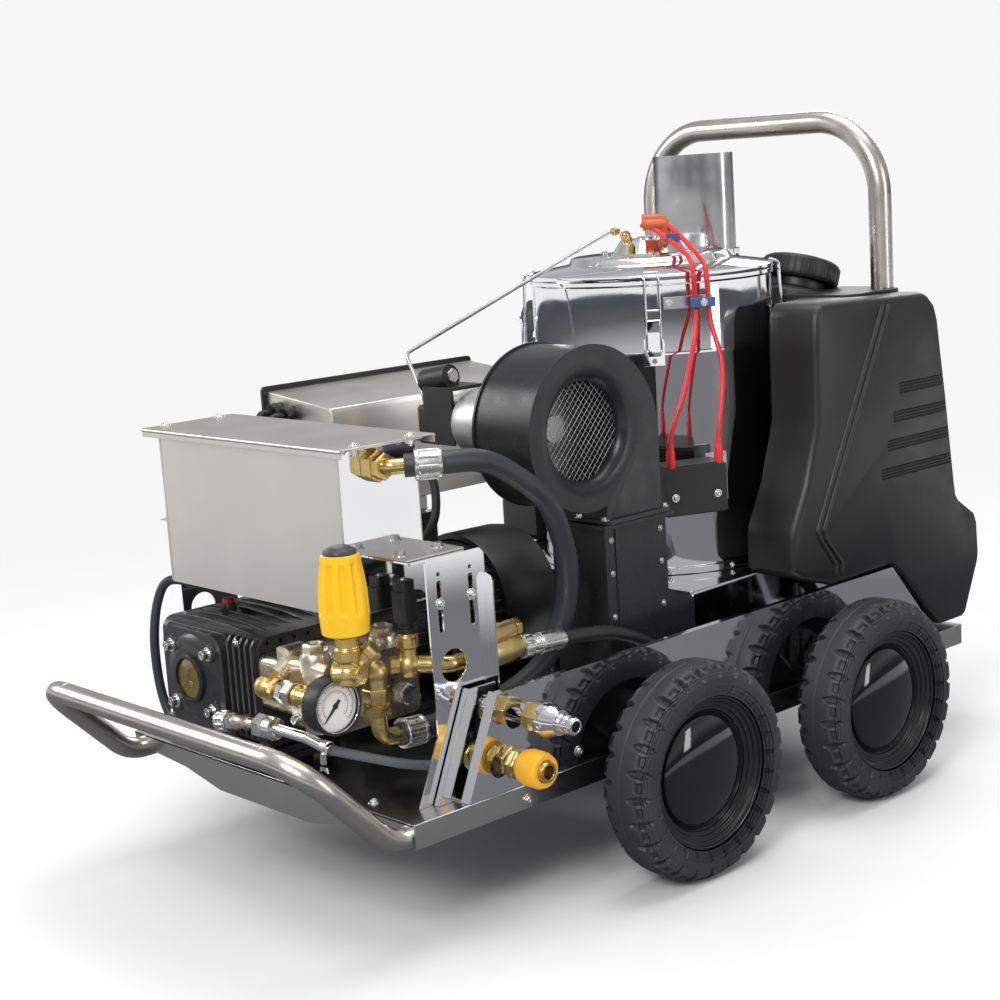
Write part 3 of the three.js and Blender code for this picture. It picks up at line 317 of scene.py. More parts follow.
HOSE_CLEAR = surface("hose_smoke", (0.11, 0.12, 0.13), 0.3, 0.0, mottle=0.1, cloud=18, bump=0.06,
                     coat=0.2)
LEAD = surface("silicone_lead", (0.66, 0.022, 0.03), 0.35, 0.0, mottle=0.1, cloud=30, bump=0.06)
BOOT = surface("electrode_boot", (0.6, 0.12, 0.035), 0.42, 0.0, mottle=0.12, cloud=40, bump=0.15)
BLUE = surface("blue_moulding", (0.04, 0.12, 0.3), 0.4, 0.0, mottle=0.15, cloud=50, bump=0.1)
YELLOW = surface("yellow_knob", (0.93, 0.54, 0.006), 0.34, 0.0, mottle=0.05, cloud=30, bump=0.06)
ORANGE = surface("collar_plastic", (0.86, 0.42, 0.02), 0.4, 0.0, mottle=0.08, cloud=40, bump=0.1)
CHARCOAL = surface("charcoal_plastic", (0.05, 0.055, 0.065), 0.42, 0.0, mottle=0.1, bump=0.1)
BLACK = surface("black_moulding", (0.012, 0.012, 0.013), 0.42, 0.0, mottle=0.2, cloud=20, bump=0.15,
                grain=1200, wear=0.1)
TANK_PE = surface("fuel_tank_plastic", (0.011, 0.011, 0.012), 0.42, 0.0, mottle=0.16, cloud=9,
                  bump=0.3, grain=750, wear=0.15)
RED = surface("red_plastic", (0.5, 0.03, 0.015), 0.4, 0.0, mottle=0.1, cloud=50, bump=0.1)
OIL = surface("amber_oil", (0.12, 0.085, 0.012), 0.08, 0.0, mottle=0.3, cloud=60, spread=0.02, coat=0.8)
DIAL = surface("dial_white", (0.82, 0.82, 0.78), 0.35, 0.0, mottle=0.02, bump=0.02, coat=0.6)
CERAMIC = surface("ceramic", (0.8, 0.79, 0.74), 0.15, 0.0, mottle=0.04, bump=0.03, coat=0.3)
SOOT = surface("sooty_tube", (0.2, 0.19, 0.18), 0.5, 0.8, mottle=0.3, cloud=25, bump=0.3)
GREEN = surface("earth_wire", (0.12, 0.4, 0.05), 0.4, 0.0, mottle=0.3, cloud=80, bump=0.05)
PANEL_GREY = surface("panel_stainless", (0.6, 0.61, 0.6), 0.2, 1.0, mottle=0.05, bump=0.08,
                     streak=STREAK_Y)


# ---------------------------------------------------------------- shape helpers
def smooth_route(points, steps=12):
    """A curve through listed points, with the given steps between two of them."""
    knots = [Vector(p) for p in points]
    knots = [2 * knots[0] - knots[1], *knots, 2 * knots[-1] - knots[-2]]
    route = []
    for a, b, c, d in zip(knots, knots[1:], knots[2:], knots[3:]):
        for k in range(steps):
            t = k / steps
            route.append(0.5 * (2 * b + (c - a) * t + (2 * a - 5 * b + 4 * c - d) * t ** 2
                                + (3 * b - a - 3 * c + d) * t ** 3))
    route.append(Vector(points[-1]))
    return route


def bent_route(corners, bend, steps=8):
    """Straight runs between corners, each corner rounded to the bend radius."""
    nodes = [Vector(p) for p in corners]
    route = [nodes[0]]
    for before, node, after in zip(nodes, nodes[1:], nodes[2:]):
        back, ahead = (before - node).normalized(), (after - node).normalized()
        half = back.angle(ahead) / 2
        centre = node + (back + ahead).normalized() * bend / math.sin(half)
        first = node + back * bend / math.tan(half) - centre
        last = node + ahead * bend / math.tan(half) - centre
        sweep = first.angle(last)
        for k in range(steps + 1):
            share = k / steps
            spot = first * math.sin((1 - share) * sweep) + last * math.sin(share * sweep)
            route.append(centre + spot / math.sin(sweep))
    route.append(nodes[-1])
    return route


def arc(centre, radius, start, end, steps):
    """Points of a circle from a start to an end angle in degrees, as pairs."""
    turns = [math.radians(start + (end - start) * k / steps) for k in range(steps + 1)]
    return [(centre[0] + radius * math.cos(t), centre[1] + radius * math.sin(t)) for t in turns]


def heading(degrees):
    """The level direction at an angle from +X."""
    turn = math.radians(degrees)
    return Vector((math.cos(turn), math.sin(turn), 0))


class Piece:
    """One visible piece: closed shapes gathered in one mesh, drawn in millimetres."""

    def __init__(self):
        self.mesh = bmesh.new()
        self.looks = []

    def fill(self, corners, look):
        if look not in self.looks:
            self.looks.append(look)
        face = self.mesh.faces.new(corners)
        face.material_index = self.looks.index(look)
        face.smooth = True

    def bridge(self, one, two, look):
        count = max(len(one), len(two))
        if count == 1:
            return
        for k in range(count):
            nxt = (k + 1) % count
            if len(one) == 1:
                self.fill([one[0], two[k], two[nxt]], look)
            elif len(two) == 1:
                self.fill([one[k], two[0], one[nxt]], look)
            else:
                self.fill([one[k], two[k], two[nxt], one[nxt]], look)

    def loft(self, outlines, look):
        """A closed solid through outlines of the same number of points, with flat ends."""
        rings = [[self.mesh.verts.new(point) for point in outline] for outline in outlines]
        for one, two in zip(rings, rings[1:]):
            self.bridge(one, two, look)
        self.fill(rings[0], look)
        self.fill(rings[-1], look)
        return self

    def turned(self, profile, start, along, look, sides=48, spin=0.0):
        """A profile of (radius, distance) points turned about a line from start."""
        axis = Vector(along).normalized()
        side = Z if abs(axis.z) < 0.9 else X
        side = (side - axis * side.dot(axis)).normalized()
        other = axis.cross(side)
        rings = []
        for radius, reach in profile:
            centre = Vector(start) + axis * reach
            if radius < 1e-6:
                rings.append([self.mesh.verts.new(centre)])
                continue
            angles = [math.radians(spin) + 2 * math.pi * k / sides for k in range(sides)]
            rings.append([self.mesh.verts.new(centre + radius * (side * math.cos(t)
                                                                 + other * math.sin(t))) for t in angles])
        for one, two in zip(rings, rings[1:]):
            self.bridge(one, two, look)
        if len(rings[0]) > 1:
            self.bridge(rings[-1], rings[0], look)
        return self

    def disc(self, radius, height, start, along, look, sides=48, spin=0.0):
        """A flat disc, or a nut where it has six sides."""
        profile = [(0, 0), (radius, 0), (radius, height), (0, height)]
        return self.turned(profile, start, along, look, sides, spin)

    def rod(self, start, end, radius, look, sides=32, spin=0.0, inner=0.0):
        span = Vector(end) - Vector(start)
        reach = span.length
        profile = [(inner, 0), (radius, 0), (radius, reach), (inner, reach)]
        return self.turned(profile, start, span, look, sides, spin)

    def tube(self, route, radius, look, sides=16):
        """A round section swept along a route; radius may be a function of the share run."""
        route = [Vector(p) for p in route]
        tangents = []
        for k in range(len(route)):
            ahead = route[min(k + 1, len(route) - 1)] - route[max(k - 1, 0)]
            tangents.append(ahead.normalized())
        side = tangents[0].orthogonal().normalized()
        rings = []
        for k, (point, tangent) in enumerate(zip(route, tangents)):
            side = (side - tangent * side.dot(tangent)).normalized()
            other = tangent.cross(side)
            size = radius(k / (len(route) - 1)) if callable(radius) else radius
            angles = [2 * math.pi * i / sides for i in range(sides)]
            rings.append([point + size * (side * math.cos(t) + other * math.sin(t)) for t in angles])
        return self.loft(rings, look)

    def prism(self, outline, axis, low, high, look):
        """An outline pushed along an axis: (y, z) for x, (x, z) for y and (x, y) for z."""
        place = {"x": lambda u, v, w: (w, u, v), "y": lambda u, v, w: (u, w, v),
                 "z": lambda u, v, w: (u, v, w)}[axis]
        return self.loft([[place(u, v, w) for u, v in outline] for w in sorted((low, high))], look)

    def box(self, x0, x1, y0, y1, z0, z1, look):
        x0, x1 = sorted((x0, x1))
        return self.prism([(x0, y0), (x1, y0), (x1, y1), (x0, y1)], "z", z0, z1, look)

    def ball(self, centre, radius, look, squash=1.0, sides=24):
        profile = [(0, -radius * squash)]
        profile += [(radius * math.cos(t), radius * squash * math.sin(t))
                    for t in (math.radians(a) for a in range(-75, 90, 15))]
        profile.append((0, radius * squash))
        return self.turned(profile, centre, Z, look, sides)

    def screw(self, place, along, radius, look, kind="hex"):
        """A screw head on a washer: hex, socket or button."""
        along = Vector(along).normalized()
        base = Vector(place)
        self.turned([(0, 0), (radius * 1.5, 0), (radius * 1.5, radius * 0.25), (0, radius * 0.25)],
                    base, along, look, 24)
        top = base + along * radius * 0.2
        if kind == "hex":
            self.rod(top, top + along * radius * 0.8, radius * 1.08, look, 6)
        elif kind == "socket":
            deep = radius * 0.9
            self.turned([(0, 0), (radius, 0), (radius, radius * 1.4), (radius * 0.55, radius * 1.4),
                         (radius * 0.55, radius * 1.4 - deep), (0, radius * 1.4 - deep)], top, along,
                         look, 24)
        else:
            self.turned([(0, 0), (radius, 0), (radius * 0.85, radius * 0.45),
                         (radius * 0.45, radius * 0.65),
                         (radius * 0.4, radius * 0.3), (0, radius * 0.3)], top, along, look, 24)
        return self

    def clamp(self, centre, along, radius, width, look, ribs=10):
        """A pressed hose ferrule: a band with a rim at each end and raised bars between them."""
        along = Vector(along).normalized()
        start = Vector(centre) - along * width / 2
        rim = width * 0.17
        self.turned([(radius - 1.5, 0), (radius + 1.6, 0), (radius + 2.8, 1), (radius + 2.8, rim - 1),
                     (radius + 0.8, rim + 0.6), (radius + 0.8, width - rim),
                     (radius + 2.2, width - rim + 0.8),
                     (radius + 2.2, width - 1), (radius + 1.2, width), (radius - 1.5, width)], start,
                     along,
                    look, 40)
        side = along.orthogonal().normalized()
        other = along.cross(side)
        for k in range(ribs):
            t = 2 * math.pi * k / ribs
            foot = start + (radius + 0.6) * (side * math.cos(t) + other * math.sin(t))
            self.rod(foot + along * rim * 0.8, foot + along * (width - rim * 0.8), 2.0, look, 10)
        return self

    def done(self, name, body, nodes=(), bevel=0.5, slot=None, segments=2, carve=None):
        bmesh.ops.recalc_face_normals(self.mesh, faces=self.mesh.faces)
        for corner in self.mesh.verts:
            corner.co = at(*corner.co)
        data = bpy.data.meshes.new(name)
        self.mesh.to_mesh(data)
        self.mesh.free()
        for look in self.looks:
            data.materials.append(look)
        piece = bpy.data.objects.new(name, data)
        bpy.context.scene.collection.objects.link(piece)
        if body is None:
            return piece
        if carve:
            tool = carve.done(name + "_tool", None)
            cut = piece.modifiers.new("cut", "BOOLEAN")
            cut.operation = "DIFFERENCE"
            cut.object = tool
            cut.solver = "EXACT"
            cut.use_self = True
            graph = bpy.context.evaluated_depsgraph_get()
            carved = bpy.data.meshes.new_from_object(piece.evaluated_get(graph))
            piece.modifiers.clear()
            piece.data = carved
            bpy.data.objects.remove(tool)
        if bevel:
            soften = piece.modifiers.new("soften", "BEVEL")
            soften.width = bevel * MM
            soften.segments = segments
            soften.limit_method = "ANGLE"
            soften.angle_limit = math.radians(38)
        piece.data.set_sharp_from_angle(angle=math.radians(40))
        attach(piece, body)
        if nodes:
            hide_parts(*nodes)
        slot or SLOTS[nodes[0]]
        return piece


def keep(node, look):
    """A CAD node that stays as it is takes a finished material."""
    materials = frame["nodes"][node].data.materials
    if len(materials) == 0:
        materials.append(look)
    for k in range(len(materials)):
        materials[k] = look


# ---------------------------------------------------------------- wheels
WHEEL = {"radius": 125.0, "inner_x": 302.0, "half_width": 32.5, "lugs": 26, "columns": 18}
AXLES = {"front": 360.0, "rear": 700.0}


def smoothstep(value):
    value = min(1.0, max(0.0, value))
    return value * value * (3 - 2 * value)


def tyre_section():
    """Half of the tyre's section from its middle to its bead, as (radius, width from middle)."""
    knots = [(124.0, 0.0), (124.6, 0.7), (125, 1.6), (125, 10), (124.6, 16), (123.8, 19.5),
             (117.6, 29.4), (113, 31.6), (107, 32.4), (100, 32.3), (95.5, 31.0), (92, 29.4),
             (88.3, 27.5)]
    fine = [(124.0, 0.0), (124.6, 0.7), (125, 1.6)]
    for (r0, w0), (r1, w1) in zip(knots[2:], knots[3:]):
        count = max(1, round(math.hypot(r1 - r0, w1 - w0) / 1.5)) if r1 > 100 else 1
        fine += [(r0 + (r1 - r0) * k / count, w0 + (w1 - w0) * k / count) for k in range(1, count + 1)]
    return fine


def tread_depth(angle, run):
    """How far the tread is cut in: leaf-shaped cross cuts and small pockets between them."""
    pitch = 2 * math.pi / WHEEL["lugs"]
    across = ((angle / pitch + 0.5) % 1 - 0.5) * pitch * WHEEL["radius"]
    leaf_start, leaf_end = 10.0, 42.0
    share = (run - leaf_start) / (leaf_end - leaf_start)
    depth = 0.0
    if 0 < share < 1:
        half_width = 5.4 * math.sin(math.pi * share) ** 0.7
        depth = 6.5 * math.sin(math.pi * share) ** 0.5 * smoothstep((half_width - abs(across)) / 1.3)
    beside = abs(across) - pitch * WHEEL["radius"] / 2
    pocket = smoothstep((6.2 + beside) / 1.2) * smoothstep((4.2 - abs(run - 26.5)) / 1.3)
    return max(depth, 3.2 * pocket)


def make_tyre(label, sign, y):
    half = tyre_section()
    runs = [0.0]
    for (r0, w0), (r1, w1) in zip(half, half[1:]):
        runs.append(runs[-1] + math.hypot(r1 - r0, w1 - w0))
    tyre = Piece()
    middle = WHEEL["inner_x"] + WHEEL["half_width"]
    columns = WHEEL["lugs"] * WHEEL["columns"]
    rings = []
    for side in (1, -1):
        for k, (radius, width) in enumerate(half):
            if side < 0 and k == 0:
                continue
            r0, w0 = half[max(k - 1, 0)]
            r1, w1 = half[min(k + 1, len(half) - 1)]
            normal = Vector((w1 - w0, r0 - r1)).normalized()
            ring = []
            for i in range(columns):
                angle = 2 * math.pi * i / columns
                shift = 0 if side > 0 else math.pi / WHEEL["lugs"]
                cut = tread_depth(angle + shift, runs[k])
                out = radius - normal.x * cut
                wide = side * (width - normal.y * cut)
                ring.append(tyre.mesh.verts.new((sign * (middle + wide), y + out * math.cos(angle),
                                                 WHEEL["radius"] + out * math.sin(angle))))
            rings.append((side * width, ring))
    rings.sort(key=lambda pair: pair[0])
    ordered = [ring for _, ring in rings]
    for one, two in zip(ordered, ordered[1:]):
        tyre.bridge(one, two, RUBBER)
    tyre.bridge(ordered[-1], ordered[0], RUBBER)
    tyre.done(f"tyre_{label}_moulded", f"wheel_{label}", [f"tyre_{label}"], bevel=0)


def make_rim(label, sign, y):
    rim = Piece()
    dome = [(67 * math.sin(t), 44 + 17.5 * math.cos(t) ** 1.2)
            for t in (math.pi / 2 * k / 14 for k in range(15))]
    rim.turned([(0, 40), *dome, (66, 40)], (sign * WHEEL["inner_x"], y, WHEEL["radius"]), X * sign,
               GLOSS, 72)
    profile = [(10.6, 46), (10.6, 2), (24, 2), (24, 32), (70, 30), (87.8, 8), (87.8, 57.5), (86.4, 58.6),
               (84.6, 57.8), (83.6, 54.2), (80.2, 53), (79.2, 50), (75.2, 49.2), (74.2, 46.4),
               (70.4, 45.6), (69.2, 43.2), (67.6, 42.8), (67.2, 40.6), (30, 42)]
    rim.turned(profile, (sign * WHEEL["inner_x"], y, WHEEL["radius"]), X * sign, RIM, 72)
    for k in range(8):
        t = 2 * math.pi * k / 8
        spoke = [(sign * (WHEEL["inner_x"] + 20), y + reach * math.cos(t),
                  WHEEL["radius"] + reach * math.sin(t)) for reach in (25, 68)]
        rim.tube(spoke, 3.0, RIM, 8)
    rim.done(f"rim_{label}_domed", f"wheel_{label}", [f"wheel_rim_{label}"], bevel=0.5)


def make_axles():
    hub = WHEEL["radius"]
    for end, y in AXLES.items():
        axle = Piece()
        axle.rod((-342, y, hub), (342, y, hub), 10, BARE)
        for sign in (1, -1):
            x = sign * 215
            axle.prism([(y - 22, 128), (y - 14, 111), (y + 14, 111), (y + 22, 128), (y + 22, 145.6),
                        (y - 22, 145.6)], "x", x - 22, x + 22, ZINC)
            axle.rod((sign * 273, y, hub), (sign * 301, y, hub), 16, ZINC)
            for dy in (-16, 16):
                axle.screw((x, y + dy, 128), -Z, 5, ZINC)
        axle.done(f"{end}_axle_turned", ROOT, [f"{end}_axle"], bevel=0.8)


# ---------------------------------------------------------------- tray, side channels, tubes
def make_tray():
    tray = Piece()
    tray.box(-271, 271, 0, 985, 146, 149, TRAY_STEEL)
    for x0, x1 in ((-271, -269), (269, 271)):
        outline = [(0.5, 147), (0.5, 122), (350, 122), *arc((360, 125), 11, 200, 340, 8),
                   (370, 122), (690, 122), *arc((700, 125), 11, 200, 340, 8), (710, 122),
                   (984.5, 122), (984.5, 147)]
        # Points of an arc round an axle are turned over about its centre.
        flipped = [(u, v) if abs(v - 125) > 11.2 or v == 122 else (u, 250 - v) for u, v in outline]
        tray.prism(flipped, "x", x0, x1, TRAY_STEEL)
    tray.box(-270, 270, 983, 985, 122, 147, TRAY_STEEL)
    apron = [(-270, 148.6), (-270, 136), (-238, 131), (-160, 125), (-88, 110.5), (88, 110.5),
             (160, 125), (238, 131), (270, 136), (270, 148.6)]
    tray.prism(apron, "y", 0, 2, TRAY_STEEL)
    for sign in (1, -1):
        tray.screw((sign * 271, 159, 131.5), X * sign, 4.6, ZINC, "button")
        tray.screw((sign * 180, 20, 149), Z, 4.5, ZINC, "button")
        for y in (240, 480, 820):
            tray.screw((sign * 255, y, 149 + 3.4), Z, 4, ZINC, "button")
    tray.done("tray_folded", ROOT, ["base_tray"], bevel=0.7)


PANEL = {"foot": DECK, "top": 259.4, "foot_y": 76.5, "top_y": 125.0, "rear_top_y": 830.0,
         "rear_foot_y": 925.0}
PORT_HOLES = ((148.5, 229.0), (122.5, 181.0))


def make_side_channel(label, sign):
    foot, top = PANEL["foot"], PANEL["top"]
    slant = (PANEL["top_y"] - PANEL["foot_y"]) / (top - foot)
    channel = Piece()

    def sheet(outline, x0, x1):
        channel.prism(outline, "x", sign * x0, sign * x1, POLISHED)

    web = [(PANEL["foot_y"], foot), (PANEL["rear_foot_y"], foot), (PANEL["rear_top_y"], top),
           (PANEL["top_y"], top)]
    sheet(web, 269.4, 271)
    flange = [(PANEL["foot_y"], foot), (PANEL["foot_y"] + 2, foot), (PANEL["top_y"] + 2, top),
              (PANEL["top_y"], top)]
    sheet(flange, 257, 270)
    inner_top = 265
    inner_top_y = 53 + slant * (inner_top - foot)
    sheet([(53, foot), (143, foot), (143, inner_top), (inner_top_y, inner_top)], 247, 248.6)
    sheet([(53, foot), (55.5, foot), (inner_top_y + 2.5, inner_top), (inner_top_y, inner_top)], 241, 248)
    channel.box(sign * 247, sign * 270.5, 78.5, 922, foot, foot + 1.6, POLISHED)
    channel.box(sign * 262, sign * 270.6, 128, 826, top - 1.6, top, POLISHED)
    holes = Piece()
    if sign > 0:
        for y, z in PORT_HOLES:
            holes.rod((260, y, z), (280, y, z), 14, POLISHED)
    else:
        holes.rod((-276, 180, 200), (-266, 180, 200), 7, POLISHED)
    channel.done(f"side_channel_{label}", ROOT, [f"side_panel_{label}"], bevel=0.5, carve=holes)
    screws = Piece()
    for y in (240, 480, 800):
        screws.screw((sign * 271, y, 165), X * sign, 4.2, ZINC, "button")
    screws.done(f"side_channel_screws_{label}", ROOT, slot="port_chrome", bevel=0.3)


HANDLE = {"x": 203, "y": 917, "foot": 149.6, "top": 840}


def make_tubes():
    bumper = Piece()
    side = [(255, 129, 131.5), (255, -20, 131.5), (255, -126, 240)]
    other = [(-x, y, z) for x, y, z in reversed(side)]
    bumper.tube(bent_route([*side, *other], 52, 10), 12.7, TUBE, 32)
    for sign in (1, -1):
        bumper.box(sign * 255 - 9, sign * 255 + 9, 40, 110, 140, 145.5, TUBE)
        bumper.turned([(11.2, 0), (12.95, 0), (12.95, 1.4), (11.2, 1.4)], (sign * 196, -126.2, 240.3),
                      X, TUBE, 32)
    bumper.done("bumper_tube", ROOT, ["front_bumper"], bevel=0.6)
    handle = Piece()
    x, y, foot, top = (HANDLE[key] for key in ("x", "y", "foot", "top"))
    corners = [(x, y, foot), (x, y, top), (-x, y, top), (-x, y, foot)]
    handle.tube(bent_route(corners, 100, 14), 15, TUBE, 36)
    handle.done("handle_tube", ROOT, ["rear_handle"], bevel=0.6)


# ---------------------------------------------------------------- water tank
def make_bracket(label, sign):
    bracket = Piece()
    web = [(35, DECK), (147, DECK), (147, 406), (141, 412), (66, 412), (65, 408), (67, 222.5)]
    bracket.prism(web, "x", sign * 237, sign * 239.3, POLISHED)
    bracket.box(sign * 237, sign * 252, 145.2, 147, 151.8, 376, POLISHED)
    bracket.prism([(sign * 237, 370), (sign * 252, 370), (sign * 251, 378), (sign * 247, 382.5),
                   (sign * 241, 384), (sign * 237, 384)], "y", 145.2, 147, POLISHED)
    bracket.box(sign * 170.6, sign * 239, 46, 129, 410, 412, POLISHED)
    holes = Piece()
    for y in (82, 126):
        holes.rod((sign * 230, y, 394), (sign * 246, y, 394), 2.4, POLISHED, 16)
        for z0, z1 in ((370, 384), (334, 356)):
            holes.rod((sign * 230, y, z0), (sign * 246, y, z0), 3.2, POLISHED, 16)
            holes.rod((sign * 230.2, y, z1), (sign * 245.8, y, z1), 3.2, POLISHED, 16)
            holes.box(sign * 230.4, sign * 245.6, y - 3.2, y + 3.2, z0, z1, POLISHED)
    holes.rod((sign * 230, 95.6, 292.7), (sign * 246, 95.6, 292.7), 18, POLISHED, 40)
    bracket.done(f"tank_bracket_{label}_slotted", ROOT, [f"tank_bracket_{label}"], bevel=0.4,
                 carve=holes)
    bolts = Piece()
    for y, z in ((82, 362), (126, 364)):
        bolts.screw((sign * 239.3, y, z), X * sign, 4.2, ZINC, "button")
        bolts.rod((sign * 229, y, z), (sign * 237, y, z), 5.5, ZINC, 6)
    bolts.done(f"bracket_bolts_{label}", ROOT, slot="latch_plate", bevel=0.3)


TANK = {"half": 170, "front": 14, "rear": 122, "bottom": 350, "top": 531, "lid": 531.4}
VALVE = (-112, 68, 500)


def make_water_tank():
    half, front, rear = TANK["half"], TANK["front"], TANK["rear"]
    bottom, top = TANK["bottom"], TANK["top"]
    tank = Piece()
    tank.box(-half, half, front, front + 1.6, bottom, top, SATIN)
    tank.box(-half, half, rear - 1.6, rear, bottom, top, SATIN)
    tank.box(-half, half, front, rear, bottom, bottom + 1.6, SATIN)
    for sign in (1, -1):
        tank.box(sign * half, sign * (half - 1.6), front, rear, bottom, top, POLISHED)
        seam = [(sign * (half - 0.6), front + 0.6, z) for z in range(bottom + 2, top - 1, 6)]
        tank.tube(seam, lambda share: 1.5 + 0.25 * math.sin(190 * share), SATIN, 10)
        tank.box(sign * (half - 1), sign * 232, 47, 126, 412.5, 414.3, SATIN)
        for y in (60, 112):
            tank.screw((sign * 206, y, 414.3), Z, 5, ZINC)
        tank.box(sign * (half - 1), sign * 188, 20, 116, top - 1.4, top, SATIN)
    x, y, z = VALVE
    tank.rod((-half + 0.5, y, z), (x - 12, y, z), 9, BRASS, 24)
    for side in (-9, 6):
        tank.box(x - 14, x + 6, y + side, y + side + 3, z - 8, z + 8, BRASS)
    holes = Piece()
    holes.rod((half - 6, 60, 508), (half + 6, 60, 508), 9, POLISHED, 24)
    tank.done("water_tank_welded", ROOT, ["water_tank"], bevel=0.6, carve=holes)
    lid = Piece()
    z = TANK["lid"]
    lid.box(-190, 190, 5, 131, z, z + 1.8, SATIN)
    for y in (4.9, 131.1):
        lid.tube([(-190, y, z - 0.4), (190, y, z - 0.4)], 2.2, SATIN, 14)
        lid.box(-190, 190, y - 1.0, y + 1.0, z - 8, z - 0.5, SATIN)
    for y in (30, 106):
        for x in (-180, 180):
            lid.screw((x, y, z + 1.8), Z, 4.4, ZINC, "button")
            lid.rod((x, y, z - 9), (x, y, z), 2.6, ZINC, 12)
            lid.rod((x, y, z - 6.4), (x, y, z - 2.2), 5.2, ZINC, 6)
    lid.done("water_tank_lid_rolled", ROOT, ["water_tank_lid"], bevel=0.3)


for position, place_y in AXLES.items():
    for flank, direction in (("right", 1), ("left", -1)):
        make_tyre(f"{position}_{flank}", direction, place_y)
        make_rim(f"{position}_{flank}", direction, place_y)
make_axles()
make_tray()
make_tubes()
for flank, direction in (("right", 1), ("left", -1)):
    make_side_channel(flank, direction)
    make_bracket(flank, direction)
make_water_tank()
keep("float_arm", BRASS)


# ---------------------------------------------------------------- pump
SHAFT = (-111, 246)


def rounded(half_x, half_z, corner, centre, steps=6):
    """A rounded rectangle's outline about a centre."""
    outline = []
    for sx, sz, start in ((1, 1, 0), (-1, 1, 90), (-1, -1, 180), (1, -1, 270)):
        middle = (centre[0] + sx * (half_x - corner), centre[1] + sz * (half_z - corner))
        outline += arc(middle, corner, start, start + 90, steps)
    return outline


def make_crankcase():
    case = Piece()
    body = rounded(68, 64, 16, (72, 242), 5)
    case.prism(body, "x", -188, 8, PUMP_BLACK)
    case.prism(rounded(66, 62, 14, (-111, 242), 5), "y", 2, 141, PUMP_BLACK)
    for k in range(7):
        y = 16 + 19 * k
        top = [(-188, 300), (-176, 307), (-150, 311.5), (-110, 312.5), (-60, 310.5), (-20, 306),
               (8, 301),
               (8, 296), (-188, 296)]
        case.prism(top, "y", y, y + 4.5, PUMP_BLACK)
    for k in range(5):
        x = -44 + 11.5 * k
        fin = [(-2.5, 190), (10, 184), (10, 305), (3, 305), (-2.5, 297)]
        case.prism(fin, "x", x, x + 3.6, PUMP_BLACK)
    for x in (-182, -66):
        case.prism([(x - 3, DECK), (x + 33, DECK), (x + 33, 158), (x + 26, 164), (x + 26, 182),
                    (x + 4, 182),
                    (x + 4, 164), (x - 3, 158)], "y", 46, 114, PUMP_BLACK)
        for dx, dy in ((4, 54), (26, 106)):
            case.screw((x + dx, dy, 160), Z, 5, ZINC)
    for x in (-178, -146, -80, -30):
        case.screw((x, 1.5, 297 if x > -140 else 190), -Y, 3.6, ZINC, "button")
    case.done("crankcase_finned", ROOT, ["pump_crankcase"], bevel=1.6)
    cover = Piece()
    x, z = SHAFT
    cover.prism(rounded(61, 57, 24, (x, z)), "y", -6.4, 3.4, PUMP_BLACK)
    cover.turned([(0, 0), (52, 0), (48, 3.4), (34, 4.6), (0, 4.6)], (x, -6.2, z), -Y, PUMP_BLACK, 64)
    cover.disc(45, 9, (x, 3, z), Y, PUMP_BLACK, 48)
    cover.turned([(24, 0), (29, 0), (29, 4.8), (27, 6), (24, 6)], (x, -10, z), -Y, BLACK, 64)
    cover.turned([(0, 0), (23.8, 0), (23.8, 2.2), (15, 3.4), (0, 3.8)], (x, -10.6, z), -Y, OIL, 64)
    cover.turned([(0, 0), (4, 0), (4, 0.6), (0, 0.8)], (x + 5, -14.4, z - 6), -Y, BRASS, 24)
    for i in (-1, 1):
        for k in (-1, 1):
            cover.turned([(0, 0), (12, 0), (10.5, 3.6), (0, 3.6)], (x + 38 * i, -6.2, z + 34 * k), -Y,
                         PUMP_BLACK, 32)
            cover.screw((x + 38 * i, -9.6, z + 34 * k), -Y, 5.6, ZINC, "socket")
    cover.done("crankcase_cover_glass", ROOT, ["crankcase_cover"], bevel=0.8)
    cap = Piece()
    x, y = -126.5, 60
    cap.rod((x, y, 277), (x, y, 309), 4.9, BLACK)
    cap.turned([(0, 0), (9, 0), (9, 11), (8, 12.5), (0, 12.5)], (x, y, 307), Z, BLACK, 40)
    for k in range(14):
        t = 2 * math.pi * k / 14
        foot = Vector((x + 8.6 * math.cos(t), y + 8.6 * math.sin(t), 309))
        cap.rod(foot, foot + Z * 8, 1.0, BLACK, 8)
    cap.turned([(0, 0), (7.2, 0), (6.8, 5), (5.8, 6.3), (0, 6.6)], (x, y, 319.4), Z, RED, 32)
    cap.done("oil_cap_knurled", ROOT, ["oil_cap"], bevel=0.3)


